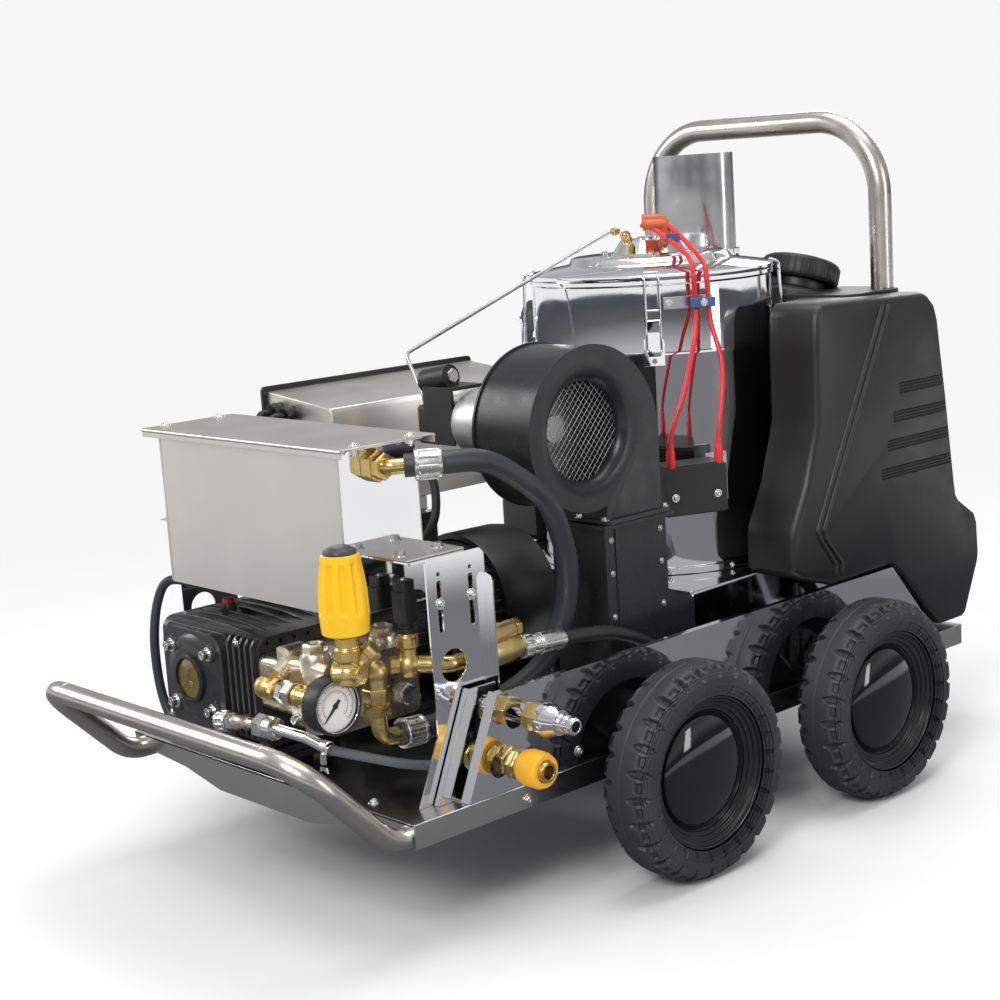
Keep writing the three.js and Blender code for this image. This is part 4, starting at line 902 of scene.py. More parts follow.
def make_manifold():
    head = Piece()
    head.prism(rounded(64, 31, 9, (67, 257.5)), "x", 10.6, 72, NICKEL)
    head.prism(rounded(65, 40, 10, (66, 256)), "x", 70, 134, NICKEL)
    for y in (17, 63, 110):
        head.turned([(0, 0), (15, 0), (18, 4), (18, 84), (15.5, 89), (0, 89)], (100, y, 214), Z,
                    NICKEL, 40)
        head.turned([(0, 0), (13.8, 0), (13.8, 10), (11.5, 12.4), (9, 12.4), (8, 10), (0, 10)],
                    (100, y, 301.6), Z, NICKEL, 6)
        head.turned([(0, 0), (13.2, 0), (13.2, 6.5), (11, 8), (0, 8)], (134, y, 240), X, ZINC, 6)
        head.turned([(0, 0), (16.5, 0), (14.5, 14), (0, 14)], (58, y, 246), X, NICKEL, 32)
    head.prism([(48, 286), (72, 286), (72, 303), (66, 306), (54, 306), (48, 303)], "y", 2.5, 31, NICKEL)
    head.tube([(60, 16, 292), (60, -6, 276)], 10.5, NICKEL, 20)
    for y, facing in ((1.5, -Y), (131, Y)):
        for x in (80, 122):
            head.screw((x, y, 228), facing, 4.6, ZINC, "socket")
    head.rod((52, 2, 266), (52, -0.4, 266), 13, NICKEL, 6)
    bores = Piece()
    for y in (32, 72, 112):
        bores.rod((0, y, 246), (94, y, 246), 9.6, NICKEL, 24)
    head.done("manifold_forged", ROOT, ["pump_manifold"], bevel=1.6, carve=bores)


HEAD_RIGHT = 135.4


def make_unloader():
    body = Piece()
    x, y = 200, -14
    profile = [(0, 0), (11, 0), (14, 3), (14, 18), (12.4, 20), (12.4, 26), (14.6, 28), (14.6, 40),
               (12.6, 42), (12.6, 52.4), (0, 52.4)]
    body.turned(profile, (x, y, 290), Z, BRASS, 40)
    body.disc(14.8, 9, (x, y, 319), Z, BRASS, 6)
    body.rod((x, y, 340), (x, y, 420), 6, ZINC, 24)
    body.ball((x, y, 303), 14.6, BRASS_CAST, 1.0, 32)
    body.rod((x - 17, y - 4, 303), (x + 17, y + 4, 303), 10.5, BRASS, 32)
    body.turned([(0, 0), (12, 0), (13.5, 4), (11.6, 12), (11.6, 50), (0, 50)], (205, -21, 303),
                Vector((168, 30, 303)) - Vector((200, -14, 303)), BRASS_CAST, 32)
    body.rod((200, -14, 303), (188, -24, 303), 13.5, BRASS, 32)
    plug = Vector((0.62, 0.42, 0.66)).normalized()
    body.turned([(0, 8), (9.5, 8), (9.5, 27), (11.5, 28), (11.5, 35), (9, 37), (0, 37)],
                (196, -8, 304), plug, BRASS_CAST, 6)
    body.ball((168, 33, 296), 16.5, BRASS_CAST, 1.0, 32)
    body.rod((HEAD_RIGHT, 38, 282), (158, 38, 282), 9.5, BRASS, 28)
    body.disc(13.5, 8, (HEAD_RIGHT + 0.4, 38, 282), X, ZINC, 6)
    body.ball((178, 36, 288), 14.5, BRASS_CAST, 1.0, 32)
    body.rod((178, 36, 290), (178, 36, 272), 13, BRASS_CAST, 32)
    body.turned([(0, 0), (15.4, 0), (16, 1.2), (16, 14.6), (14.6, 16), (0, 16)], (178, 36, 256.4), Z,
                BRASS, 6)
    body.rod((168, 33, 312), (168, 33, 319), 8, BRASS, 6)
    body.done("unloader_valve", ROOT, ["unloader_body"], bevel=0.7)
    make_knob(x, y)


def make_knob(x, y):
    knob = Piece()
    levels = [(3, 7), (3, 23), (4.5, 25), (25, 26.6), (27, 26.4), (30, 26.2), (48, 25.6), (64, 23.8),
              (76, 21.8), (78, 21.4), (80, 21.6), (86, 20.4), (87, 17), (87, 7)]
    sides, flutes = 144, 10
    rings = []
    for height, radius in levels:
        ring = []
        for k in range(sides):
            angle = 2 * math.pi * k / sides
            wave = smoothstep((abs(math.sin(flutes * angle / 2)) - 0.35) / 0.4)
            deep = 3.0 * smoothstep((height - 25) / 4) * (1 - 0.7 * smoothstep((height - 76) / 3))
            deep = deep if radius > 18 else 0
            out = radius - deep * (1 - wave)
            ring.append(knob.mesh.verts.new((x + out * math.cos(angle), y + out * math.sin(angle),
                                             343 + height)))
        rings.append(ring)
    for one, two in zip(rings, rings[1:]):
        knob.bridge(one, two, YELLOW)
    knob.bridge(rings[-1], rings[0], YELLOW)
    knob.turned([(0, 86), (17.4, 86), (17.6, 89), (16, 91.6), (12, 93), (11, 94.6), (6, 95), (0, 95)],
                (x, y, 343), Z, CHARCOAL, 48)
    knob.done("unloader_knob_fluted", "unloader_knob", ["unloader_knob"], bevel=0.6)


NEEDLE_REST = 225
GAUGE = {"y": -21, "z": 266, "radius": 31.5, "back": 160, "face": 186}


def make_gauge():
    y, z = GAUGE["y"], GAUGE["z"]
    radius, back, face = GAUGE["radius"], GAUGE["back"], GAUGE["face"]
    gauge = Piece()
    depth = face - back
    gauge.turned([(0, 0), (26, 0), (30, 2), (31, 6), (31, depth - 3), (30.4, depth), (28.6, depth),
                  (27.6, depth - 2.6), (27.6, depth - 6), (0, depth - 6)], (back, y, z), X, BLACK, 72)
    gauge.disc(27.5, 0.8, (face - 6.2, y, z), X, DIAL, 64)
    sweep, start = 270, 225
    for ring_radius, count, size, look in ((23.5, 40, 0.35, BLACK), (16.5, 26, 0.28, RED)):
        for k in range(count + 1):
            t = math.radians(start - sweep * k / count)
            long = 3.6 if k % 5 == 0 else 2.0
            direction = Vector((0, math.cos(t), math.sin(t)))
            centre = Vector((face - 5.3, y, z))
            gauge.rod(centre + direction * (ring_radius - long), centre + direction * ring_radius,
                      size, look, 6)
        band = [Vector((face - 5.3, y + ring_radius * math.cos(math.radians(start - sweep * k / 60)),
                        z + ring_radius * math.sin(math.radians(start - sweep * k / 60))))
                for k in range(61)]
        gauge.tube(band, 0.22, look, 6)
    gauge.rod((112, y, z), (back + 1, y, z), 9.2, BRASS, 32)
    gauge.turned([(0, 0), (12.5, 0), (12.5, 3), (10.5, 5), (10.5, 22), (12.5, 24), (12.5, 30), (0, 30)],
                 (118, y, z), X, BRASS, 32)
    gauge.disc(13.6, 12, (99, y, z), X, ZINC, 6, 10)
    gauge.disc(13.0, 10, (87.5, y, z), X, ZINC, 6, 40)
    gauge.rod((52, y, z), (90, y, z), 9.2, BRASS, 28)
    gauge.ball((56, y, z), 13.2, BRASS_CAST, 1.0, 28)
    gauge.disc(13, 8, (74, y, z), X, BRASS, 8)
    gauge.rod((52, y - 4, z), (52, -0.5, z), 10.5, BRASS_CAST, 28)
    gauge.done("gauge_case_dial", ROOT, ["gauge_case"], bevel=0.4)
    lens = Piece()
    lens.turned([(27.4, 0), (28.4, 0), (28.4, 1.4), (27.4, 1.4)], (face - 1.6, y, z), X, CHROME, 64)
    lens.done("gauge_bezel", ROOT, slot="gauge_black", bevel=0.3)
    needle = Piece()
    t = math.radians(NEEDLE_REST)
    tip, side = Vector((0, math.cos(t), math.sin(t))), Vector((0, -math.sin(t), math.cos(t)))
    centre = Vector((face - 5.4, y, z))
    outline = [centre - tip * 8 - side * 1.6, centre - side * 1.9, centre + tip * 22 - side * 0.35,
               centre + tip * 22 + side * 0.35, centre + side * 1.9, centre - tip * 8 + side * 1.6]
    needle.loft([[p + X * lift for p in outline] for lift in (0.3, 0.95)], BLACK)
    needle.turned([(0, 0), (3.2, 0), (3.2, 0.9), (2.4, 1.1), (0, 1.1)], centre, X, BLACK, 24)
    needle.done("gauge_pointer", "gauge_needle", ["gauge_needle"], bevel=0)


def make_outlet():
    line = Piece()
    line.rod((178, 56, 292), (188, 76, 291), 9.2, BRASS, 28)
    line.turned([(0, 0), (11.2, 0), (11.2, 16), (9.6, 18), (9.6, 30), (12.4, 32), (12.4, 44), (10.4, 46),
                 (10.4, 51), (0, 51)], (190, 74, 279), Z, BRASS, 32)
    line.disc(13, 9, (190, 74, 311), Z, BRASS, 6)
    line.ball((190, 74, 291), 13.5, BRASS_CAST, 1.0, 28)
    line.tube(bent_route([(190, 74, 291), (219, 106, 288), (222, 200, 285)], 14, 6), 9.2, BRASS, 28)
    line.disc(13, 9, (221.6, 184, 285.5), Y, BRASS, 6)
    line.turned([(0, 0), (11, 0), (15, 6), (16, 20), (15, 44), (12, 54), (11, 60), (0, 60)],
                (220.2, 148, 286.6), Y, BRASS_CAST, 32)
    line.turned([(0, 0), (11, 0), (12, 4), (12, 36), (10.5, 38), (10.5, 50), (9, 52), (0, 52)],
                (220, 146, 302), Vector((0, 1, 0.12)), BRASS_CAST, 28)
    line.disc(10.6, 8, (220, 198, 308.4), Y, BRASS, 6)
    line.turned([(0, 0), (11.5, 0), (11.5, 5), (9, 6), (9, 14), (0, 14)], (190, 74, 326), Z, BLACK, 32)
    line.prism(rounded(10.8, 10.8, 4, (190, 74)), "z", 338, 372, BLACK)
    line.prism(rounded(9.6, 8.6, 3.5, (190, 74)), "z", 371, 384, BLACK)
    line.rod((190, 84, 366), (190, 97, 363), 5.4, BLACK, 20)
    line.screw((190, 74, 383.6), Z, 2.6, ZINC, "button")
    line.tube(smooth_route([(190, 96, 363), (192, 112, 356), (196, 124, 330), (214, 130, 250),
                            (222, 134, 190)], 8), 3, BLACK, 12)
    line.done("outlet_line_switch", ROOT, ["outlet_line"], bevel=0.6)


PRESSURE_ROUTE = [(222, 200.6, 285), (225, 240, 283), (228, 300, 279), (230, 350, 270), (230, 405, 244),
                  (230, 460, 208), (230, 515, 184), (229, 550, 178)]
FEED_ROUTE = [(206, 74, 508), (226, 101, 508), (234, 150, 504), (232, 192, 487), (230, 250, 444),
              (222, 280, 395), (214, 294, 350), (201, 296, 300), (192, 270, 250), (186, 220, 224),
              (182, 160, 214), (180, 100, 212), (178, 62, 213)]
RETURN_ROUTE = [(-150, 100, 349), (-152, 96, 332), (-196, 76, 330), (-232, 48, 336), (-246, 36, 310),
                (-246, 26, 262), (-243, 26, 205), (-228, 28, 168), (-200, 28, 162), (-120, 26, 161),
                (-76, 8, 162), (-57, -14, 184), (-44, -16, 207)]
BYPASS_ROUTE = [(158, -14, 212), (170, 8, 203), (190, 52, 186), (206, 92, 176), (214, 140, 170),
                (216, 240, 163), (216, 360, 160), (216, 480, 160), (216, 535, 160)]


def make_hoses():
    hose = Piece()
    hose.tube(smooth_route(PRESSURE_ROUTE, 9), 8.5, HOSE_BLACK, 24)
    start = Vector(PRESSURE_ROUTE[0])
    along = (Vector(PRESSURE_ROUTE[1]) - start).normalized()
    hose.turned([(0, 8), (13, 8), (13, 19), (9, 21), (9, 24), (11, 25), (11, 27), (9.6, 28), (9.6, 31),
                 (12.4, 32), (12.4, 64), (11.4, 66), (0, 66)], start, along, ZINC, 36)
    hose.turned([(0, 7), (14, 7), (14, 18), (0, 18)], start, along, ZINC, 6)
    hose.rod((229, 536, 179), (229, 562, 176), 11, ZINC, 28)
    hose.rod((229, 556, 176), (201, 556, 176), 8, ZINC, 28)
    hose.rod((210, 556, 176), (201, 556, 176), 13, ZINC, 6)
    hose.done("pressure_hose_crimped", ROOT, ["pressure_hose"], bevel=0.5)
    feed = Piece()
    feed.rod((158, 60, 508), (172, 60, 508), 8.2, BRASS, 28)
    feed.turned([(0, 0), (18, 0), (18, 11), (16, 13), (0, 13)], (170.6, 60, 508), X, BRASS, 6)
    feed.turned([(0, 0), (15, 0), (15, 8), (13.4, 9.5), (0, 9.5)], (183.4, 60, 508), X, BRASS, 6)
    feed.tube(bent_route([(188, 60, 508), (198, 62, 508), (212, 82, 508)], 6, 5), 8.6, BRASS, 24)
    feed.tube(smooth_route(FEED_ROUTE, 9), 12.5, HOSE_GREY, 28)
    feed.clamp((221, 94.5, 508), Vector((17, 22, 0)), 14.2, 29, ZINC, 9)
    feed.clamp((178.6, 80, 212.4), Vector((1, 24, -1)), 14.2, 28, ZINC, 9)
    feed.tube(bent_route([(178, 36, 255), (178, 37, 215), (178, 68, 213)], 17, 7), 9.4, BRASS, 24)
    feed.turned([(0, 0), (14, 0), (15.6, 2), (15.6, 13), (13.6, 14.5), (0, 14.5)], (178, 36.4, 241.4), Z,
                BRASS, 6, 30)
    feed.done("feed_hose_clamped", ROOT, ["feed_hose"], bevel=0.5)
    bypass = Piece()
    bypass.tube(smooth_route(RETURN_ROUTE, 9), 5.8, HOSE_GREY, 20)
    bypass.clamp((-38, -15.6, 208.6), Vector((54, 2, 8)), 10.2, 18, ZINC, 10)
    bypass.disc(10.5, 11, (-28, -15.3, 209.6), Vector((54, 2, 8)), ZINC, 6)
    bypass.turned([(0, 0), (8.4, 0), (9.6, 3), (8, 7), (8, 18), (9.8, 22), (0, 22)], (-18, -15, 211),
                  Vector((54, 2, 8)), NICKEL, 28)
    bypass.tube(bent_route([(2, -14, 214), (66, -14, 217), (116, -14, 217), (158, -14, 211)], 30, 6),
                6.4,
                CHROME, 24)
    bypass.turned([(0, 0), (12, 0), (14.6, 2), (14.6, 15), (12, 17), (0, 17)], (26, -14, 215.2), X,
                  ZINC, 6)
    bypass.turned([(0, 0), (11, 0), (13, 2), (13, 13), (9, 16), (0, 16)], (44, -14, 216), X, ZINC, 28)
    bypass.tube(smooth_route(BYPASS_ROUTE, 8), 5.4, HOSE_CLEAR, 20)
    bypass.turned([(6.0, 0), (7.6, 0.4), (7.6, 9.6), (6.0, 10)], (145, -14, 213.2), X, ZINC, 32)
    bypass.box(147, 153, -22, -18, 196, 208, ZINC)
    bypass.prism([(145, 193), (155, 193), (157, 187), (151, 189), (149, 189), (143, 187)], "y", -21, -19,
                 ZINC)
    bypass.rod((216, 524, 160), (216, 543, 160), 7.4, ZINC, 24)
    bypass.rod((216, 538, 160), (201, 538, 160), 5, ZINC, 24)
    bypass.done("bypass_line_fitted", ROOT, ["bypass_line"], bevel=0.4)


make_crankcase()
make_manifold()
make_unloader()
make_gauge()
make_outlet()
make_hoses()
keep("drive_shaft", BARE)
for number in (1, 2, 3):
    keep(f"plunger_{number}", CERAMIC)


# ---------------------------------------------------------------- motor and blower
def make_motor():
    motor = Piece()
    x, z = SHAFT
    end_bell = [(0, 141.5), (68, 141.5), (71, 145), (73, 158), (80, 178), (84, 190), (84, 198), (0, 198)]
    motor.turned(end_bell, (x, 0, z), Y, MOTOR_BLACK, 64)
    motor.turned([(0, 192), (86, 192), (86, 408), (0, 408)], (x, 0, z), Y, MOTOR_BLACK, 64)
    for k in range(44):
        t = 2 * math.pi * (k + 0.5) / 44
        out = Vector((math.cos(t), 0, math.sin(t)))
        if out.z < -0.55 or (out.z > 0.8 and abs(out.x) < 0.6):
            continue
        wide = out.cross(Y) * 1.3
        centre = Vector((x, 0, z))
        corners = [centre + out * 84 - wide, centre + out * 96 - wide * 0.6,
                   centre + out * 96 + wide * 0.6,
                   centre + out * 84 + wide]
        motor.loft([[c + Y * y for c in corners] for y in (202, 400)], MOTOR_BLACK)
    cowl = [(88, 406), (95, 407), (96, 412), (95, 482), (92, 499), (88, 500), (52, 500), (52, 496),
            (86, 496),
            (91, 480), (91, 412)]
    motor.turned(cowl, (x, 0, z), Y, MOTOR_BLACK, 64)
    for radius in (62, 72, 82):
        motor.turned([(radius, 495), (radius + 2, 495), (radius + 2, 499), (radius, 499)], (x, 0, z), Y,
                     MOTOR_BLACK, 64)
    for k in range(6):
        t = math.pi * k / 3
        out = Vector((math.cos(t), 0, math.sin(t)))
        hub = Vector((x, 497, z))
        motor.rod(hub + out * 52, hub + out * 90, 2, MOTOR_BLACK, 8)
        motor.screw(Vector((x, 170, z)) + out * 77, -Y, 4, ZINC)
    motor.prism([(x - 75, DECK), (x - 45, DECK), (x - 40, 158), (x + 40, 158), (x + 45, DECK),
                 (x + 75, DECK), (x + 75, 157), (x + 52, 174), (x - 52, 174), (x - 75, 157)], "y",
                 230, 370,
                MOTOR_BLACK)
    motor.prism(rounded(50, 50, 9, (x - 4, 295)), "z", 324, 378, BLACK)
    motor.prism(rounded(48, 48, 9, (x - 4, 295)), "z", 377.5, 388, BLACK)
    for dx in (-40, 40):
        for dy in (-40, 40):
            motor.screw((x - 4 + dx, 295 + dy, 387.6), Z, 3.2, ZINC, "button")
    motor.turned([(0, 0), (11, 0), (11, 6), (8, 7), (8, 16), (0, 16)], (x + 44, 280, 352), X, BLACK, 8)
    for z_start, look, radius in ((352, BLACK, 5.5), (356, GREEN, 1.8), (346, YELLOW, 1.8)):
        motor.tube(smooth_route([(x + 52, 280, z_start), (x + 72, 286, z_start + 4),
                                 (x + 84, 306, z_start + 40),
                                 (x + 50, 330, z_start + 84), (x - 24, 340, z_start + 70),
                                 (x - 104, 330, 400)], 8), radius, look, 12)
    motor.done("motor_finned", ROOT, ["motor_housing"], bevel=0.6)


BLOWER = {"y": 344, "z": 505, "left": 115, "right": 210}


def scroll(steps=56, trim=0.0):
    """The scroll's outline from its outlet's rear corner round to the outlet's front corner."""
    outline = []
    for k in range(steps + 1):
        share = k / steps
        t = math.radians(-75 - 285 * share)
        radius = 91 + 22 * share ** 3.5 - trim
        outline.append((BLOWER["y"] + radius * math.cos(t), BLOWER["z"] + radius * math.sin(t)))
    return outline + [(457 - trim, 392), (367.5 + trim, 392)]


def make_blower():
    blower = Piece()
    y, z, left, right = (BLOWER[key] for key in ("y", "z", "left", "right"))
    blower.prism(scroll(), "x", left + 2, right - 2, BLOWER_BLACK)
    for x in (left, right - 3):
        blower.prism(scroll(trim=-2.2), "x", x, x + 3, BLOWER_BLACK)
    blower.prism([(366, 392.5), (470, 392.5), (470, 397.5), (366, 397.5)], "x", 111, 214, BLOWER_BLACK)
    for x in (120, 163, 205):
        for edge in (363, 474):
            blower.screw((x, edge + (5 if edge < 400 else -5), 397.3), Z, 4, ZINC)
    cavity = Piece()
    dish = [(0, 0), (57, 0), (57, 78), (58, 82), (61, 86.5), (66, 90), (71, 91.6), (77, 92.2),
            (77, 110), (0, 110)]
    cavity.turned(dish, (left + 2.8, y, z), X, BLOWER_BLACK, 96)
    cavity.rod((left - 20, y, z), (left + 12, y, z), 44, BLOWER_BLACK, 48)
    blower.done("blower_scroll", ROOT, ["blower_housing"], bevel=1.0, carve=cavity)
    inlet = Piece()
    inlet.turned([(57.2, 0), (58.2, 0), (58.2, 3), (57.2, 3)], (right - 16, y, z), X, BLOWER_BLACK, 80)
    pitch, reach = 6.4, 57.0
    for sign in (-1, 1):
        for k in range(-9, 10):
            offset = k * pitch
            half = math.sqrt(max(0.0, reach ** 2 - offset ** 2))
            if half < 8:
                continue
            along = Vector((0, math.cos(math.radians(47)), sign * math.sin(math.radians(47))))
            across = X.cross(along)
            centre = Vector((right - 14.5 + sign * 0.4, y, z)) + across * offset
            inlet.rod(centre - along * half, centre + along * half, 0.45, BARE, 6)
    inlet.done("blower_inlet_mesh", ROOT, slot=SLOTS["blower_housing"], bevel=0.4)


def make_duct():
    duct = Piece()
    duct.prism([(366, 160), (470, 160), (514.6, 160), (514.6, 276), (476, 290), (470, 296), (470, 391),
                (366, 391)], "x", 116, 205, BLOWER_BLACK)
    duct.prism([(360, 386.4), (478, 386.4), (478, 391.4), (360, 391.4)], "x", 109, 212, BLOWER_BLACK)
    for z in (176, 228, 280, 332, 372):
        duct.screw((205, 376, z), X, 2.6, BARE, "button")
        duct.screw((205, 460, z), X, 2.6, BARE, "button")
    duct.prism([(382, 160), (386, 160), (386, 386), (382, 386)], "x", 204, 206.6, BLOWER_BLACK)
    duct.box(112, 209, 362, 482, 149.6, 162, BLOWER_BLACK)
    for x in (122, 160, 198):
        duct.screw((x, 372, 386.6), -Z, 4, ZINC)
        duct.screw((x, 365.6, 168), -Y, 2.6, BARE, "button")
    duct.done("blower_duct_seamed", ROOT, ["blower_duct"], bevel=1.2)


def make_burner_motor():
    motor = Piece()
    y, z = BLOWER["y"], BLOWER["z"]
    motor.turned([(0, 12), (36, 12), (38, 15), (38, 30), (40, 32), (43, 34), (43, 70), (40, 72),
                  (38, 74),
                  (38, 106), (50, 107), (50, 114.4), (0, 114.4)], (0, y, z), X, ALLOY, 64)
    for k in range(28):
        t = 2 * math.pi * k / 28
        out = Vector((0, math.cos(t), math.sin(t)))
        foot = Vector((76, y, z)) + out * 37.6
        motor.rod(foot, foot + X * 30, 1.3, ALLOY, 8)
    for k in range(4):
        t = math.radians(45 + 90 * k)
        motor.screw((107, y + 45 * math.cos(t), z + 45 * math.sin(t)), -X, 3.4, ZINC)
    motor.turned([(0, -20), (14, -20), (16, -17), (16, 14), (0, 14)], (0, y, z), X, ALLOY, 48)
    motor.prism(rounded(25, 24, 5, (y, 501)), "x", -62, -18, BLACK)
    motor.rod((-44, 332, 525), (-44, 332, 543), 9.6, BRASS, 6)
    motor.rod((-58, 332, 553), (-14, 336, 561), 15, BLACK, 48)
    motor.rod((-60, 331.6, 552.6), (-57, 332, 553), 12, ZINC, 6)
    motor.rod((-15, 336, 561), (-10, 336.4, 562), 9, ZINC, 6)
    motor.prism([(318, 478), (322, 478), (322, 545), (370, 545), (370, 549), (318, 549)], "x", -50, 4,
                BLACK)
    motor.rod((-62, 349.5, 500), (-70, 350, 501), 7, BRASS, 6)
    motor.done("burner_motor_cast", ROOT, ["burner_motor"], bevel=0.6)
    pipe = Piece()
    pipe.tube(bent_route([(-63.5, 349.5, 500), (-72, 350, 503), (-118, 352, 583), (4, 606, 716),
                          (4, 622, 716)], 9, 5), 2.4, BARE, 14)
    pipe.rod((-64, 349.5, 500), (-72, 350, 503), 5, BRASS, 6)
    pipe.rod((4, 612, 716), (4, 622, 716), 5, BRASS, 6)
    pipe.done("fuel_pipe_bent", ROOT, ["fuel_pipe"], bevel=0.2)


# ---------------------------------------------------------------- boiler
FLUE = surface("flue_stainless", (0.6, 0.6, 0.6), 0.22, 1.0, mottle=0.08, bump=0.1, streak=STREAK_Z)
LATCH = {"z": 568, "reach": 172, "angles": (-137, -47, 43, 133)}
BOILER = {"y": 685, "radius": 159, "bottom": 281.8, "top": 656.8}


def make_boiler():
    shell = Piece()
    y, radius, bottom, top = (BOILER[key] for key in ("y", "radius", "bottom", "top"))
    wall = [(radius - 2, bottom), (164, bottom), (164, 289.6), (radius, 290.6), (radius, 560),
            (radius + 0.7, 562), (radius + 0.7, 567), (radius, 569), (radius, top - 7),
            (radius + 2.2, top - 5),
            (radius + 2.2, top), (radius - 2, top)]
    shell.turned(wall, (0, y, 0), Z, POLISHED, 144)
    for k in range(12):
        t = 2 * math.pi * (k + 0.5) / 12
        out = Vector((math.cos(t), math.sin(t), 0))
        shell.screw(Vector((0, y, 286)) + out * 163.8, out, 2.6, ZINC, "button")
    seam = Vector((math.cos(2.6), math.sin(2.6), 0)) * (radius + 0.5) + Vector((0, y, 0))
    shell.rod(seam + Z * 292, seam + Z * 650, 1.2, POLISHED, 8)
    for angle in LATCH["angles"]:
        out = heading(angle)
        across = Z.cross(out)
        foot = Vector((0, y, LATCH["z"])) + out * (radius - 1)
        outline = [foot + across * a + Z * h for a,
                   h in ((-13, -18), (13, -18), (13, 14), (8, 20), (-8, 20),
                                                          (-13, 14))]
        shell.loft([[p + out * lift for p in outline] for lift in (0, 2.6)], CHROME)
        for height in (-12, 13):
            shell.screw(foot + out * 2.2 + Z * height, out, 2.4, ZINC, "button")
        shell.rod(foot, foot + out * 9.4, 6, CHROME, 20)
    shell.done("boiler_shell_polished", ROOT, ["boiler_shell"], bevel=0.5)
    lid = Piece()
    z = top + 0.4
    rise = [(0, 0), (161, 0), (162, 2), (162, 6), (159, 8), (112, 16), (108, 17), (104, 24),
            (101, 25.4), (52, 27),
            (49, 28), (38, 44), (35, 45), (20, 45), (18, 46), (16, 46), (0, 46)]
    lid.turned(rise, (0, y, z), Z, POLISHED, 120)
    for k in range(6):
        t = math.radians(20 + 60 * k)
        lid.screw((66 * math.cos(t), y + 66 * math.sin(t), z + 26.6), Z, 3.6, ZINC)
    flue_half, flue_round, flue_y = 34, 28, 778
    for grow, low, high in ((5, 668, 681.2), (0, 668, 808)):
        outline = arc((flue_half, flue_y), flue_round + grow, -90, 90, 20)
        outline += arc((-flue_half, flue_y), flue_round + grow, 90, 270, 20)
        lid.prism(outline, "z", low, high, POLISHED if grow else FLUE)
    lid.rod((0, y, z + 20), (0, y, z + 48), 15.5, ZINC, 24)
    lid.turned([(0, 0), (7, 0), (7, 12), (5, 15), (0, 15)], (4, 640, 700), Vector((0, -0.4, 0.9)),
               BRASS, 24)
    cavity = Piece()
    outline = arc((flue_half, flue_y), flue_round - 1.5, -90, 90, 20)
    outline += arc((-flue_half, flue_y), flue_round - 1.5, 90, 270, 20)
    cavity.prism(outline, "z", 690, 830, SOOT)
    lid.done("boiler_lid_flue", ROOT, ["boiler_lid"], bevel=0.6, carve=cavity)
    stand = Piece()
    outer, inner = rounded(170, 200, 4, (y, 0), 3), rounded(168, 198, 4, (y, 0), 3)
    stand.prism([(v, u) for u, v in outer], "z", 149.6, 281, POLISHED)
    hollow = Piece()
    hollow.prism([(v, u) for u, v in inner], "z", 140, 279, POLISHED)
    hollow.rod((0, y, 270), (0, y, 290), 110, POLISHED, 64)
    hollow.box(119, 198, 500, 530, 164, 268, POLISHED)
    stand.done("boiler_stand_polished", ROOT, ["boiler_stand"], bevel=0.8, carve=hollow)
    trim = Piece()
    for x in (-190, -60, 60, 190):
        trim.screw((x, 514.8, 160), -Y, 3.2, ZINC)
    for y_screw in (540, 640, 740, 830):
        trim.screw((200.2, y_screw, 160), X, 3.2, ZINC)
        trim.screw((-200.2, y_screw, 160), -X, 3.2, ZINC)
    trim.done("stand_screws", ROOT, slot=SLOTS["boiler_stand"], bevel=0.2)


def make_latches():
    for number, angle in enumerate(LATCH["angles"], 1):
        latch = Piece()
        out = heading(angle)
        across = Z.cross(out)
        pivot = Vector((0, BOILER["y"], LATCH["z"])) + out * LATCH["reach"]

        def place(reach, side, height):
            return pivot + out * reach + across * side + Z * height

        latch.rod(place(0, -9, 0), place(0, 9, 0), 3.4, CHROME, 20)
        profile = [(-2.2, -3), (2.6, -5), (4.2, 4), (3.4, 20), (4.6, 34), (7.5, 40), (6.2, 41.5),
                   (2.6, 36),
                   (0.8, 20), (1.4, 4)]
        latch.loft([[place(a, side, b) for a, b in profile] for side in (-7.6, 7.6)], CHROME)
        for side in (-9, 9):
            wire = [place(0, side, 0), place(-3.5, side, 94), place(-15, side, 98.5)]
            latch.tube(bent_route(wire, 4, 4), 1.6, CHROME, 12)
        latch.rod(place(-15, -9.6, 98.5), place(-15, 9.6, 98.5), 1.6, CHROME, 12)
        latch.rod(place(-1.8, -8.6, 52), place(-1.8, 8.6, 52), 1.3, CHROME, 12)
        latch.done(f"toggle_latch_{number}", f"lid_latch_{number}", [f"lid_latch_{number}"], bevel=0.3)


def make_transformer():
    box = Piece()
    out = heading(-24)
    across = Z.cross(out)

    def place(reach, side, height):
        return Vector((0, BOILER["y"], 0)) + out * reach + across * side + Z * height

    def slab(r0, r1, s0, s1, z0, z1, look):
        corners = [(r0, s0), (r1, s0), (r1, s1), (r0, s1)]
        box.loft([[place(a, b, z) for a, b in corners] for z in (z0, z1)], look)

    slab(181.5, 228, -91, -8, 373, 432, BLACK)
    slab(184, 225.6, -88.5, -10.5, 371.4, 434, BLACK)
    slab(180, 182.4, -15, 14, 377, 438, BARE)
    for side in (-78, -21):
        box.screw(place(228, side, 395), out, 3.4, ZINC, "button")
    for height in (388, 428):
        box.screw(place(182.4, 4, height), out, 3.2, ZINC)
    box.done("ignition_transformer_box", ROOT, ["ignition_transformer"], bevel=1.0)


